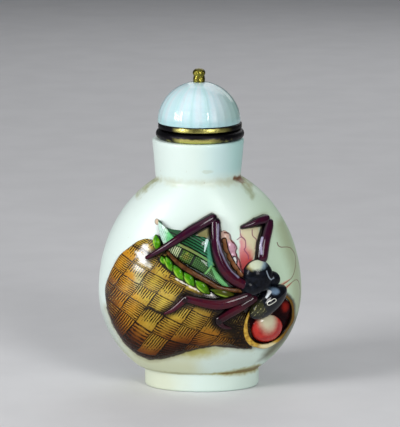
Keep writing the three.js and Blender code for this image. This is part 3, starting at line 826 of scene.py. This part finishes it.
place, x, level, crest = read_maps(brush)
fine = place.cloud(1.2, 4.0)
grain = fine - 0.5
yellow = fine.ramp(0.35, 0.65).mix(ink(224, 186, 72), ink(176, 130, 38))
yellow = x.ramp(15.0, 18.0).mix(yellow, ink(116, 86, 36))
# A painted glint, pale cream, on the rim's lower edge.
yellow = (place.spot(14.0, 11.2, 2.2, 0.7).ramp(1.2, 0.4)).mix(yellow, ink(238, 226, 176))
yellow = (1 - (crest + 0.3 * grain).ramp(0.45, 0.82)).mix(yellow, ink(20, 10, 5))
lay(rim_shader, brush, yellow, fine, 0.00005)
(0.05 + 0.55 * x.ramp(17.0, 14.0)).feed(rim_shader, "Coat Weight")
lay_on_front(rim, rim_yellow)

hollow_red, hollow_shader, brush = finish("hollow_red", roughness=0.4, specular=0.03)
place, x, level, crest = read_maps(brush)
fine = place.cloud(1.0, 4.0)
grain = fine - 0.5
red = fine.ramp(0.35, 0.65).mix(ink(20, 4, 7), ink(36, 7, 10))
red = ((place.spot(18.2, 18.9, 1.0, 1.4) + 0.7 * grain).ramp(1.2, 0.2)).mix(red, ink(134, 30, 22))
# The painted shadow that crosses the ball carries on, dark, across the hollow.
red = (place.line([(15.1, 18.2), (17.5, 15.0)]).ramp(1.1, 0.4)).mix(red, ink(24, 6, 9))
lay(hollow_shader, brush, red, fine, 0.00004)
hollow_size = (RIM_HALF_LENGTH - HOLLOW_INSET, RIM_HALF_WIDTH - HOLLOW_INSET)
hollow_outline = oval(*RIM_MIDDLE, *hollow_size, RIM_TURN, count=64)
hollow = swelling("gourd_hollow", hollow_outline, RIM_MIDDLE, HOLLOW_BASE, HOLLOW_RISE, rings=4)
lay_on_front(hollow, hollow_red)

ball_red, ball_shader, brush = finish("ball_red", roughness=0.16, coat=0.7, specular=0.05)
place, x, level, crest = read_maps(brush)
fine = place.cloud(0.9, 5.0)
grain = fine - 0.5
# The ball's cream middle is partly its own colour and partly a painted highlight.
cream_and_highlight = (place.spot(14.0, 17.4, 2.3, 3.6) + 0.3 * grain).ramp(0.35, 1.15)
red = fine.ramp(0.3, 0.7).mix(ink(196, 44, 32), ink(168, 30, 26))
red = cream_and_highlight.mix(ink(214, 208, 176), red)
# Its edge is painted deeper red, as outline and painted shade, and a painted shadow crosses its upper right.
red = (1 - (crest + 0.2 * grain).ramp(0.2, 0.7)).mix(red, ink(84, 8, 10))
wedge_shadow = 0.77 * (x - 15.2) + 0.64 * (level - 18.2) + 0.2 * grain
red = (0.95 * wedge_shadow.ramp(-0.05, 0.3)).mix(red, ink(30, 7, 12))
lay(ball_shader, brush, red, fine, 0.00003)
ball_outline = oval(*BALL_MIDDLE, *BALL_SIZE, turn=0, count=60)
ball = swelling("gourd_ball", ball_outline, BALL_MIDDLE, 0, BALL_RISE, rings=16)
lay_on_front(ball, ball_red)


# Abdomen: overlapping plump green segments, moulded with the wall, steep at the tail and level
# towards the thorax. Each is a pointed oval with a dark outline and a pale streak.
SEGMENTS = [
    (-8.8, 33.7, 1.7, 0.9, -82), (-7.5, 30.2, 1.2, 0.85, -69), (-6.3, 29.5, 1.9, 1.0, -67),
    (-4.4, 27.75, 2.1, 1.1, -58), (-2.2, 26.4, 2.0, 1.15, -54), (0.5, 24.75, 2.3, 1.2, -44),
    (4.9, 23.4, 3.1, 1.05, -17),
]
SEGMENT_BASE = 0.9
SEGMENT_RISE = 0.95
SEGMENT_POINT = 0.45

leaf_green, leaf_shader, brush = finish("leaf_green", roughness=0.3, coat=0.3, specular=0.05)
place, x, level, crest = read_maps(brush)
fine = place.cloud(1.4, 4.0)
grain = fine - 0.5
green = fine.ramp(0.3, 0.7).mix(ink(94, 164, 10), ink(46, 122, 6))
green = x.ramp(-2.0, 4.5).mix(green, ink(64, 68, 6))
facing = crest + 0.2 * grain + 0.25 * level.ramp(31.5, 32.5)
for *segment_middle, half_length, half_width, turn in SEGMENTS:
    lean = math.radians(turn)
    side = Vector((math.sin(lean), -math.cos(lean))) * 0.5 * half_width
    half = Vector((math.cos(lean), math.sin(lean))) * 0.6 * half_length
    middle = Vector(segment_middle) + side
    streak = place.line([middle - half, middle + half]) + 0.2 * grain
    green = (0.6 * streak.ramp(0.3, 0.0)).mix(green, ink(196, 236, 84))
green = (1 - facing.ramp(0.62, 0.93)).mix(green, ink(6, 20, 4))
lay(leaf_shader, brush, green, fine, 0.00005)
for count, shape in enumerate(SEGMENTS):
    outline = oval(*shape, count=48, point=SEGMENT_POINT)
    segment = swelling(f"segment_{count}", outline, shape[:2], SEGMENT_BASE, SEGMENT_RISE, rings=10)
    lay_on_front(segment, leaf_green)


# Fore wing: the folded green wing with its pointed tip at the upper left, moulded with the wall,
# engraved with cells and fine hatching. A brown ridge runs along its lower edge.
WING_OUTLINE = [
    (-8.5, 38.4), (-7.6, 37.4), (-6, 36.7), (-3.5, 36.4), (-0.8, 35.5), (1.8, 34.7), (2.3, 32.1),
    (3.3, 28.7), (4.8, 26.4), (6, 24.7), (4.6, 24.9), (2.1, 26.7), (-0.4, 28.1), (-2.9, 29.5),
    (-5, 31), (-6.8, 32.5), (-8, 34.5), (-8.5, 36.7),
]
WING_FOLD = 28.05
CELL_FOOT = 25.1
CELL_ENDS = (-18.0, -15.15, -11.65)
HATCH_PITCH = 0.4
RIB_PITCH = 0.55
WING_WAY = (0.89, -0.455)
WING_MIDDLE = (-2, 32.4)
WING_BASE = 0.8
WING_RISE = 1.1
MINT_EDGE = [(2.5, 28.7, 0.0), (3.6, 26.9, 0.35), (4.8, 25.6, 0.35), (6.0, 24.7, 0.2)]
EDGE_STATIONS = [
    (-6.6, 31.9, 1.1, 0.4), (-3.7, 29.2, 1.2, 0.6), (1.6, 26.0, 1.1, 0.65), (4.2, 24.5, 1.0, 0.62),
    (8.6, 23.7, 0.9, 0.55),
]


def limb(name, stations, rings, sides):
    """A rounded limb along stations of x, level, lift and radius, drawn flat by extruding a ring."""
    path = through(stations, rings)
    headings = []
    for step in range(rings):
        before, after = path[max(step - 1, 0)], path[min(step + 1, rings - 1)]
        headings.append(math.atan2(after[0] - before[0], after[1] - before[1]))
    steps = [(*point, heading) for point, heading in zip(path, headings)]
    caps = [[], []]
    for cap, (x, level, lift, radius, heading), sense in zip(caps, (steps[0], steps[-1]), (-1, 1)):
        for onward, girth in arc(4):
            shift = sense * radius * onward
            girth = max(radius * girth, POLE)
            across, up = shift * math.sin(heading), shift * math.cos(heading)
            cap.append((x + across, level + up, lift, girth, heading))
    steps = caps[0][::-1] + steps + caps[1]

    piece = new_ring(name, sides)
    bpy.ops.object.mode_set(mode="EDIT")
    x, level, lift, radius, heading = steps[0]
    bpy.ops.transform.resize(value=(radius, radius, radius))
    bpy.ops.transform.rotate(value=-heading, orient_axis="Y", center_override=(0, 0, 0))
    bpy.ops.transform.translate(value=(x, -lift, level))
    for last, now in zip(steps, steps[1:]):
        centre, growth = (now[0], -now[2], now[1]), now[3] / last[3]
        bpy.ops.mesh.extrude_region_move()
        bpy.ops.transform.translate(value=(now[0] - last[0], last[2] - now[2], now[1] - last[1]))
        bpy.ops.transform.resize(value=(growth, growth, growth), center_override=centre)
        turn = math.remainder(now[4] - last[4], 2 * math.pi)
        bpy.ops.transform.rotate(value=-turn, orient_axis="Y", center_override=centre)
    close_ends(piece, sides)
    return piece


wing_green, wing_shader, brush = finish("wing_green", roughness=0.22, coat=0.6, specular=0.05)
place, x, level, crest = read_maps(brush)
fine = place.cloud(1.4, 4.0)
grain = fine - 0.5
along = WING_WAY[0] * x + WING_WAY[1] * level
out = WING_WAY[0] * level - WING_WAY[1] * x + 0.02 * (x + 2) * (x + 2)
weft = abs(2 * (along / HATCH_PITCH + 0.4 * fine).fraction() - 1).ramp(0.22, 0.68)
warp = abs(2 * (out / HATCH_PITCH + 0.4 * fine).fraction() - 1).ramp(0.22, 0.68)
hatch = weft.most(warp * along.ramp(CELL_ENDS[0] - 0.1, CELL_ENDS[0] + 0.1)) * fine.ramp(0.28, 0.4)
cell_edge = abs(out - CELL_FOOT)
for cell_end in CELL_ENDS:
    cell_edge = cell_edge.least(abs(along - cell_end))
cell_edge = (cell_edge + 0.2 * grain).ramp(0.3, 0.14)
folded = (out + 0.3 * grain).ramp(WING_FOLD - 0.1, WING_FOLD + 0.2)
ribs = abs(2 * (out / RIB_PITCH + 0.3 * fine).fraction() - 1).ramp(0.3, 0.7)
# The cells towards the tip start pale green-white, lightened partly as a painted highlight.
cells = (along + 1.5 * grain).ramp(-18.6, -17.4).mix(ink(206, 220, 168), ink(110, 152, 52))
cells = (along + 2 * grain).ramp(-16.2, -14.4).mix(cells, ink(92, 150, 74))
heart = (abs(along + 16.6) + abs(out - 26.4) + grain).ramp(1.4, 0.3)
cells = (0.7 * heart).mix(cells, ink(188, 178, 60))
cells = (0.9 * hatch).mix(cells, ink(12, 34, 12))
cells = (0.95 * cell_edge).mix(cells, ink(8, 22, 10))
fold = (x + 3 * grain).ramp(-3.0, 2.0).mix(ink(30, 84, 46), ink(50, 124, 84))
fold = (0.92 * ribs).mix(fold, ink(5, 20, 10))
green = folded.mix(cells, fold)
fold_edge = abs(out - WING_FOLD) + 0.15 * grain
green = fold_edge.ramp(0.55, 0.42).mix(green, ink(8, 22, 10))
band = (x + 3 * grain).ramp(-2.0, 1.5).mix(ink(122, 134, 76), ink(106, 156, 92))
green = fold_edge.ramp(0.3, 0.2).mix(green, band)
tip = (x + 0.93 * level + 0.4 * grain).ramp(27.5, 27.0) * level.ramp(33.0, 34.2)
tip_color = (x + 0.5 * grain).ramp(-7.6, -6.2).mix(ink(206, 240, 224), ink(112, 206, 132))
tip_color = (0.35 * weft * fine.ramp(0.4, 0.55)).mix(tip_color, ink(20, 70, 44))
green = tip.mix(green, tip_color)
upper_edges = [
    ([(-8.6, 38.3, 0.0), (-6.0, 36.9, 0.35), (-3.0, 36.2, 0.6)], 0.2, (0.3, 0.1, 1, (26, 78, 44))),
    ([(1.7, 34.0, 0.1), (2.0, 31.9, 0.25), (2.1, 29.5, 0.3)], 0.4, (0.5, 0.0, 0.7, (92, 176, 142))),
]
green = strokes(green, place, grain, upper_edges)
mint = place.line(MINT_EDGE) + 0.3 * grain
low_hatch = place.line([(1.7, 27.5, 0.3), (3.4, 25.6, 0.2)]).ramp(0.4, 0.0)
green = (0.6 * low_hatch * (1 - hatch)).mix(green, ink(190, 230, 190))
green = (mint.ramp(0.35, 0.0) * (1 - 0.35 * hatch)).mix(green, ink(126, 208, 132))
# A painted highlight streak near the wing's upper right, then a green slash lower down.
highlight_and_slash = [
    ([(1.45, 34.5, 0.25), (1.2, 33.6, 0.2), (0.9, 32.2, 0.0)], 0.15, (0.15, 0.0, 0.95, (216, 246, 240))),
    ([(2.3, 29.2), (1.0, 27.5)], 0.2, (0.3, 0.1, 0.8, (128, 196, 112))),
]
green = strokes(green, place, grain, highlight_and_slash)
green = (1 - (crest + 0.2 * grain).ramp(0.12, 0.4)).mix(green, ink(8, 26, 14))
lay(wing_shader, brush, green, 1 - hatch - cell_edge, 0.00003)
wing_outline = through(WING_OUTLINE, 120, closed=True)
wing = swelling("fore_wing", wing_outline, WING_MIDDLE, WING_BASE, WING_RISE, rings=18)
lay_on_front(wing, wing_green)

edge_brown, edge_shader, brush = finish("edge_brown", roughness=0.22, coat=0.25, specular=0.05)
place, x, level, crest = read_maps(brush)
fine = place.cloud(1.2, 4.0)
grain = fine - 0.5
brown = fine.ramp(0.3, 0.7).mix(ink(108, 70, 36), ink(70, 40, 20))
brown = (1 - (crest + 0.2 * grain).ramp(0.5, 0.85)).mix(brown, ink(16, 9, 5))
lay(edge_shader, brush, brown, fine, 0.00004)
lay_on_front(limb("wing_edge", EDGE_STATIONS, rings=30, sides=14), edge_brown)


# Hind wing: the frilled, folded edge of the pink wing, a row of small lobes moulded with the wall
# beside the fan that is only painted.
FRILLS = [
    (5.2, 35.0, 1.5, 1.05, -78), (6.2, 33.0, 1.8, 1.4, -66), (6.8, 31.0, 1.4, 1.15, -70),
    (7.6, 29.2, 1.5, 1.1, -60), (8.7, 27.3, 1.5, 0.8, -55),
]
FRILL_RISE = 0.75

frill_pink, frill_shader, brush = finish("frill_pink", roughness=0.2, coat=0.6, specular=0.05)
place, x, level, crest = read_maps(brush)
fine = place.cloud(1.2, 4.0)
grain = fine - 0.5
inward = place.line([(5.0, 34.4), (5.4, 32.4), (6.2, 30.6), (7.5, 28.5), (8.6, 27.0)])
pink = (level + 2 * grain).ramp(34.6, 33.6).mix(ink(230, 194, 176), ink(204, 156, 172))
pink = (level + 1.5 * grain).ramp(31.2, 30.4).mix(pink, ink(214, 140, 142))
# A painted glint on the frill: a dark spot with a white highlight in it.
pink = (place.spot(7.1, 30.1, 0.9, 1.0) + 0.8 * grain).ramp(1.1, 0.8).mix(pink, ink(30, 20, 24))
pink = (place.spot(7.2, 30.3, 0.5, 0.6) + 0.8 * grain).ramp(1.1, 0.5).mix(pink, ink(246, 244, 242))
pink = (0.6 * fine.ramp(0.55, 0.7)).mix(pink, ink(150, 84, 112))
pink = inward.ramp(0.68, 0.52).mix(pink, ink(28, 12, 10))
pink = (inward + 0.2 * grain).ramp(0.42, 0.28).mix(pink, ink(146, 96, 60))
pink = strokes(pink, place, grain, [frill_outline])
pink = (1 - (crest + 0.3 * grain).ramp(0.3, 0.65)).mix(pink, ink(40, 14, 16))
lay(frill_shader, brush, pink, fine, 0.00006)
for count, shape in enumerate(FRILLS):
    lobe = swelling(f"frill_{count}", oval(*shape, count=40), shape[:2], 0, FRILL_RISE, rings=8)
    lay_on_front(lobe, frill_pink)


# Legs: each thigh and shin is a tapering limb moulded with the wall, in glossy dark purple enamel
# with black flanks and black knees.
KNEES = [(3.3, 38.9), (-2.9, 22.4), (3.7, 17.7), (14.6, 37.9)]
KNEE_RADIUS = 0.9
LEG_GLINTS = [
    ([(3.6, 37.6), (3.5, 34.5), (4.3, 31.9), (5.9, 28.7), (7.6, 26.8)], 0.36, ink(150, 146, 174)),
    ([(12.6, 34.3), (12.3, 32.7), (12.4, 31.1)], 0.32, ink(176, 172, 200)),
]

leg_purple, leg_shader, brush = finish("leg_purple", roughness=0.2, coat=0.5, specular=0.05)
place, x, level, crest = read_maps(brush)
fine = place.cloud(1.1, 4.0)
grain = fine - 0.5
purple = (fine + 0.02 * (level - 28)).ramp(0.3, 0.7).mix(ink(72, 12, 28), ink(50, 10, 36))
# Painted shade: the low legs by the gourd's neck and the legs' roots under the thorax are darkened.
low_leg_shade = level.ramp(20.5, 18.0) * x.ramp(2.0, 4.0)
purple = (0.6 * low_leg_shade).mix(purple, ink(20, 8, 14))
purple = (0.6 * place.spot(9.6, 22.2, 3.2, 2.4).ramp(1.1, 0.4)).mix(purple, ink(18, 8, 16))
knees = [((*knee, KNEE_RADIUS, KNEE_RADIUS), 0.6, (1.0, 0.5, 0.85, (16, 8, 14))) for knee in KNEES]
purple = strokes(purple, place, grain, knees)
purple = (1 - (crest + 0.2 * grain).ramp(0.48, 0.86)).mix(purple, ink(8, 4, 7))
for path, width, color in LEG_GLINTS:
    glint = place.line(path) + 0.4 * grain
    purple = (0.85 * glint.ramp(width, 0.05) * fine.ramp(0.2, 0.42) * crest.ramp(0.3, 0.6)).mix(purple, color)
lay(leg_shader, brush, purple, fine, 0.00006)
for count, stations in enumerate(THIGHS + SHINS):
    lay_on_front(limb(f"leg_{count}", stations, rings=28, sides=18), leg_purple)


# Thorax and head: a black lump with side lobes and a cream patch, and the long head that looks down
# to the right, with a small raised eye. They are moulded with the wall and enamelled in glossy black, with
# painted highlights: part of the cream patch, a curl on the side lobe and strokes on the head.
LUMPS = [
    ("thorax", 12.0, 26.4, 3.6, 3.0, 100, 0.6, 2.3),
    ("thorax_left", 10.4, 24.4, 2.6, 2.0, 150, 0.8, 1.9),
    ("thorax_lobe", 15.2, 25.6, 1.7, 1.35, 115, 0.4, 1.6),
    ("head", 14.1, 20.7, 4.7, 2.35, 40, 0.6, 2.2),
    ("eye", 14.0, 21.2, 0.85, 0.42, 30, 2.4, 0.5),
]

shell_black, shell_shader, brush = finish("shell_black", roughness=0.12, coat=0.9, specular=0.05)
place, x, level, crest = read_maps(brush)
fine = place.cloud(1.2, 4.0)
grain = fine - 0.5
black = fine.ramp(0.35, 0.7).mix(ink(9, 11, 17), ink(20, 24, 34))
# The cream patch is partly cream paint and partly a painted highlight, bluish towards the right.
patch = (place.spot(11.2, 29.3, 2.4, 1.5) + 0.5 * grain).ramp(1.15, 0.6) * crest.ramp(0.1, 0.4)
cream_and_highlight = (x + 2 * grain).ramp(9.4, 10.9).mix(ink(160, 138, 66), ink(200, 210, 184))
cream_and_highlight = (x - 0.6 * level + 1.2 * grain).ramp(-5.6, -4.4).mix(cream_and_highlight, ink(138, 164, 178))
black = patch.mix(black, cream_and_highlight)
curl_highlight = place.line(through([(13.0, 27.6), (13.4, 26.4), (14.1, 25.7), (14.7, 25.9)], 10))
black = (0.75 * curl_highlight.ramp(0.2, 0.0)).mix(black, ink(176, 192, 206))
sheen = (place.spot(14.9, 23.2, 1.0, 0.85) + 0.5 * grain).ramp(1.1, 0.4)
black = (0.85 * sheen).mix(black, ink(120, 146, 172))
# A painted highlight stroke on the head.
black = place.line([(14.1, 23.2, 0.1), (13.2, 22.1, 0.0)]).ramp(0.25, 0.05).mix(black, ink(232, 240, 244))
eye_ring = abs(place.line([(13.5, 20.95), (14.5, 21.45)]) - 0.34)
black = eye_ring.ramp(0.1, 0.02).mix(black, ink(246, 246, 232))
cheek = (place.spot(11.5, 19.9, 1.8, 2.1) + 0.8 * grain).ramp(1.1, 0.4)
black = (0.55 * cheek).mix(black, ink(72, 72, 40))
scratches = abs(2 * (1.3 * x - 0.9 * level + 0.9 * fine).fraction() - 1).ramp(0.7, 0.95)
scratches = scratches * place.cloud(2.2, 2.0).ramp(0.48, 0.58) * cheek
black = (0.85 * scratches).mix(black, ink(176, 172, 116))
lay(shell_shader, brush, black, fine, 0.00004)
dull = level.ramp(22.5, 24.5)
(0.12 + 0.3 * dull).feed(shell_shader, "Roughness")
(0.65 - 0.5 * dull).feed(shell_shader, "Coat Weight")
for name, *shape, base, rise in LUMPS:
    lump = swelling(name, oval(*shape, count=64), shape[:2], base, rise, rings=14)
    lay_on_front(lump, shell_black)


# Joining: the raised picture and the wall are one piece of porcelain, moulded and fired together, so the
# forms are joined into the wall, and points that fall together are merged.
MERGE_DISTANCE = 1e-7
SMOOTH_ANGLE = math.radians(40)

for form in relief:
    bpy.ops.object.select_all(action="DESELECT")
    bpy.context.view_layer.objects.active = bottle
    bottle.select_set(True)
    bpy.ops.object.modifier_add(type="BOOLEAN")
    join = bottle.modifiers[-1]
    join.operation = "UNION"
    join.solver = "MANIFOLD"
    join.material_mode = "TRANSFER"
    join.object = form
    bpy.ops.object.modifier_apply(modifier=join.name)
    bpy.data.objects.remove(form)
bpy.ops.object.mode_set(mode="EDIT")
bpy.ops.mesh.select_all(action="SELECT")
bpy.ops.mesh.remove_doubles(threshold=MERGE_DISTANCE)
bpy.ops.object.mode_set(mode="OBJECT")
bpy.ops.object.shade_smooth_by_angle(angle=SMOOTH_ANGLE)
bottle.name = "enamelled_bottle"
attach(bottle, "root")
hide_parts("bottle")


# Stopper collar: a turned metal ring on the lip, a plump bead below and a narrow band above a groove.
# It is blackened, and shows its gilding along the front of both, partly worn there and partly a painted
# highlight.
COLLAR_LOW, COLLAR_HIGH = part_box("stopper_collar")
COLLAR_MIDDLE = (COLLAR_LOW.x + COLLAR_HIGH.x) / 2 / MM
BEAD_RADIUS = (COLLAR_HIGH.x - COLLAR_LOW.x) / 2 / MM
GROOVE_RADIUS = 8.55
BAND_RADIUS = 9.0
BEAD_HEIGHT = 2.0
BEAD_STEPS = 16
BAND_EDGE = 0.3
BAND_GAP = 0.1
COLLAR_GAP = 0.02
COLLAR_SIDES = 144


def collar_ovals():
    """The collar's circles, from the middle of its underside to the middle of its top."""
    low, high = COLLAR_LOW.z / MM + COLLAR_GAP, COLLAR_HIGH.z / MM
    circles = [(POLE, low), (GROOVE_RADIUS * 0.6, low), (GROOVE_RADIUS, low)]
    for step in range(1, BEAD_STEPS):
        angle = math.pi * (step / BEAD_STEPS - 0.5)
        radius = GROOVE_RADIUS + (BEAD_RADIUS - GROOVE_RADIUS) * math.cos(angle)
        circles.append((radius, low + BEAD_HEIGHT / 2 * (1 + math.sin(angle))))
    circles.append((GROOVE_RADIUS, low + BEAD_HEIGHT))
    band_low = low + BEAD_HEIGHT + BAND_GAP
    for rise, reach in arc(5):
        level = band_low + BAND_EDGE * (1 - reach) * 0.7 + 0.09 * rise
        circles.append((BAND_RADIUS - BAND_EDGE * reach, level))
    for rise, reach in arc(5):
        circles.append((BAND_RADIUS - BAND_EDGE * (1 - reach), high - BAND_EDGE * (1 - rise)))
    circles.extend([(BAND_RADIUS * 0.6, high), (POLE, high)])
    return [(COLLAR_MIDDLE, level, radius, radius) for radius, level in circles]


def set_in_place(piece):
    """Takes a piece of the stopper to its place in metres, and makes it smooth but for its sharp edges."""
    to_metres(piece)
    bpy.ops.object.shade_smooth_by_angle(angle=SMOOTH_ANGLE)


collar = draw_through("worn_shining_collar", collar_ovals(), COLLAR_SIDES)
set_in_place(collar)
bronze, bronze_shader, brush = finish("blackened_bronze", roughness=0.3, metallic=1.0)
spot_place = brush.node("ShaderNodeTexCoord", {}, {}, output="Object")
across = spot_place.part(0) / MM
depth = (spot_place.part(1) - AXIS_Y) / MM
level = spot_place.part(2) / MM
fine = spot_place.cloud(900.0, 5.0)
grain = fine - 0.5
broad = spot_place.cloud(220.0)
# Gilding shows along the front of the bead and band: partly wear, partly a painted highlight.
on_bead = (abs(level - 54.95) + 0.5 * grain).ramp(0.75, 0.2)
on_band = (abs(level - 57.2) + 0.5 * grain).ramp(0.6, 0.15)
bead_front_shine = (abs(across + 0.8) + 3 * (broad - 0.5)).ramp(5.5, 2.5) * depth.ramp(0.0, -3.0)
band_front_shine = (abs(across - 0.5) + 3 * (broad - 0.5)).ramp(6.5, 3.5) * depth.ramp(0.0, -3.0)
patchy = 0.5 * broad.ramp(0.56, 0.66)
wear_and_shine = on_bead * (bead_front_shine + patchy) + on_band * (band_front_shine + patchy)
flecks = fine.ramp(0.64, 0.72) * broad.ramp(0.45, 0.6)
wear_and_shine = (wear_and_shine + 0.6 * flecks).least(1.0)
lay(bronze_shader, brush, wear_and_shine.mix(ink(34, 32, 36), ink(214, 206, 118)), fine + broad, 0.00008)
(0.42 - 0.15 * wear_and_shine + 0.2 * grain).feed(bronze_shader, "Roughness")
collar.data.materials.append(bronze)
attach(collar, "root")
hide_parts("stopper_collar")


# Stopper dome: a milky, bluish, polished half ball with shallow flutes between soft ridges, flat on
# top under the knob. It sits on the collar.
DOME_LOW, DOME_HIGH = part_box("stopper_dome")
DOME_MIDDLE = (DOME_LOW.x + DOME_HIGH.x) / 2 / MM
DOME_RADIUS = 8.95
DOME_FLUTES = 28
FLUTE_DEPTH = 0.07
FLUTE_STEPS = 8
DOME_FLAT = 1.55
DOME_EDGE = 0.25


def dome_ovals():
    """The dome's circles, from the middle of its underside, over its edge, to the middle of its top."""
    low, high = DOME_LOW.z / MM + COLLAR_GAP, DOME_HIGH.z / MM
    circles = [(POLE, low), (DOME_RADIUS * 0.6, low), (DOME_RADIUS - DOME_EDGE, low)]
    for rise, reach in arc(4):
        circles.append((DOME_RADIUS - DOME_EDGE * (1 - rise), low + DOME_EDGE * (1 - reach)))
    highest = math.acos(DOME_FLAT / DOME_RADIUS)
    for angle in between(0, highest, 26)[2:]:
        level = low + (high - low) * math.sin(angle) / math.sin(highest)
        circles.append((DOME_RADIUS * math.cos(angle), level))
    circles.extend([(DOME_FLAT * 0.5, high), (POLE, high)])
    return [(DOME_MIDDLE, level, radius, radius) for radius, level in circles]


dome = draw_through("fluted_dome", dome_ovals(), DOME_FLUTES * FLUTE_STEPS)
for vertex in dome.data.vertices:
    out = Vector((vertex.co.x - DOME_MIDDLE, vertex.co.y, 0))
    if out.length > DOME_FLAT and vertex.co.z > DOME_LOW.z / MM + 0.1:
        hollow = abs(math.sin(math.atan2(out.y, out.x) * DOME_FLUTES / 2)) ** 0.8
        narrowing = (out.length - DOME_FLAT) / (DOME_RADIUS - DOME_FLAT)
        vertex.co -= FLUTE_DEPTH * hollow * narrowing * out.normalized()
set_in_place(dome)
milky, milky_shader, brush = finish("milky_stone", roughness=0.14, coat=0.3)
stone = brush.node("ShaderNodeTexCoord", {}, {}, output="Object")
across = stone.part(0) / MM - DOME_MIDDLE
depth = (stone.part(1) - AXIS_Y) / MM
turn = brush.math("ARCTAN2", depth, across)
flute = abs((turn * (DOME_FLUTES / 2)).sine())
round_place = brush.node("ShaderNodeCombineXYZ", {}, {0: across, 1: depth})
bands = brush.vector("NORMALIZE", round_place).cloud(3.2, 2.0)
broad = stone.cloud(130.0)
milk = broad.ramp(0.35, 0.65).mix(ink(206, 234, 240), ink(196, 228, 232))
milk = (0.7 * bands.ramp(0.45, 0.6)).mix(milk, ink(216, 230, 236))
milk = (0.6 * bands.ramp(0.45, 0.36)).mix(milk, ink(184, 222, 222))
# Painted highlight along the flutes' ridges, and painted shade down the dome's right side.
milk = (0.12 * flute.ramp(0.35, 0.0)).mix(milk, ink(230, 244, 246))
milk = (across + 2 * (broad - 0.5)).ramp(2.5, 8.0).mix(milk, ink(170, 204, 198))
milk = (0.7 * (stone.part(2) / MM).ramp(60.0, 58.0)).mix(milk, ink(168, 210, 214))
lay(milky_shader, brush, milk, stone.cloud(400.0), 0.00003)
milky_shader.inputs["Subsurface Weight"].default_value = 0.25
milky_shader.inputs["Subsurface Radius"].default_value = (0.0015, 0.002, 0.0022)
dome.data.materials.append(milky)
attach(dome, "root")
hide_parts("stopper_dome")


# Stopper knob: a short gilt metal post with a rounded head, a little uneven, with dark pits where the
# gilding is worn. It is fixed on the dome's flat top.
KNOB_LOW, KNOB_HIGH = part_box("stopper_finial")
KNOB_MIDDLE = (KNOB_LOW.x + KNOB_HIGH.x) / 2 / MM
KNOB_RADIUS = 1.38
KNOB_WAIST = 1.18
KNOB_BASE = 1.3
KNOB_SIDES = 48


def knob_ovals():
    """The knob's circles, from its foot on the dome, past its waist, to the top of its head."""
    low, high = KNOB_LOW.z / MM + COLLAR_GAP, KNOB_HIGH.z / MM
    height = high - low
    circles = [(POLE, low), (KNOB_BASE - 0.1, low), (KNOB_BASE, low + 0.1), (KNOB_BASE, low + 0.25 * height)]
    circles.append((KNOB_WAIST, low + 0.42 * height))
    for step in range(9):
        angle = math.pi / 2 * (step / 8.5 - 0.35)
        level = low + height * (0.66 + 0.34 * math.sin(angle))
        circles.append((max(KNOB_RADIUS * math.cos(angle), POLE), level))
    circles.append((POLE, high))
    return [(KNOB_MIDDLE, level, radius, radius) for radius, level in circles]


knob = draw_through("gilt_knob", knob_ovals(), KNOB_SIDES)
set_in_place(knob)
gilt, gilt_shader, brush = finish("worn_gilt", roughness=0.3, metallic=1.0)
metal = brush.node("ShaderNodeTexCoord", {}, {}, output="Object")
dents = metal.cloud(700.0, 3.0)
pits = dents.ramp(0.56, 0.66)
gold = metal.cloud(300.0).ramp(0.35, 0.65).mix(ink(162, 154, 68), ink(108, 102, 40))
lay(gilt_shader, brush, (0.85 * pits).mix(gold, ink(40, 36, 16)), 1 - dents, 0.0006)
(0.28 + 0.3 * pits).feed(gilt_shader, "Roughness")
knob.data.materials.append(gilt)
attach(knob, "root")
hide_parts("stopper_finial")
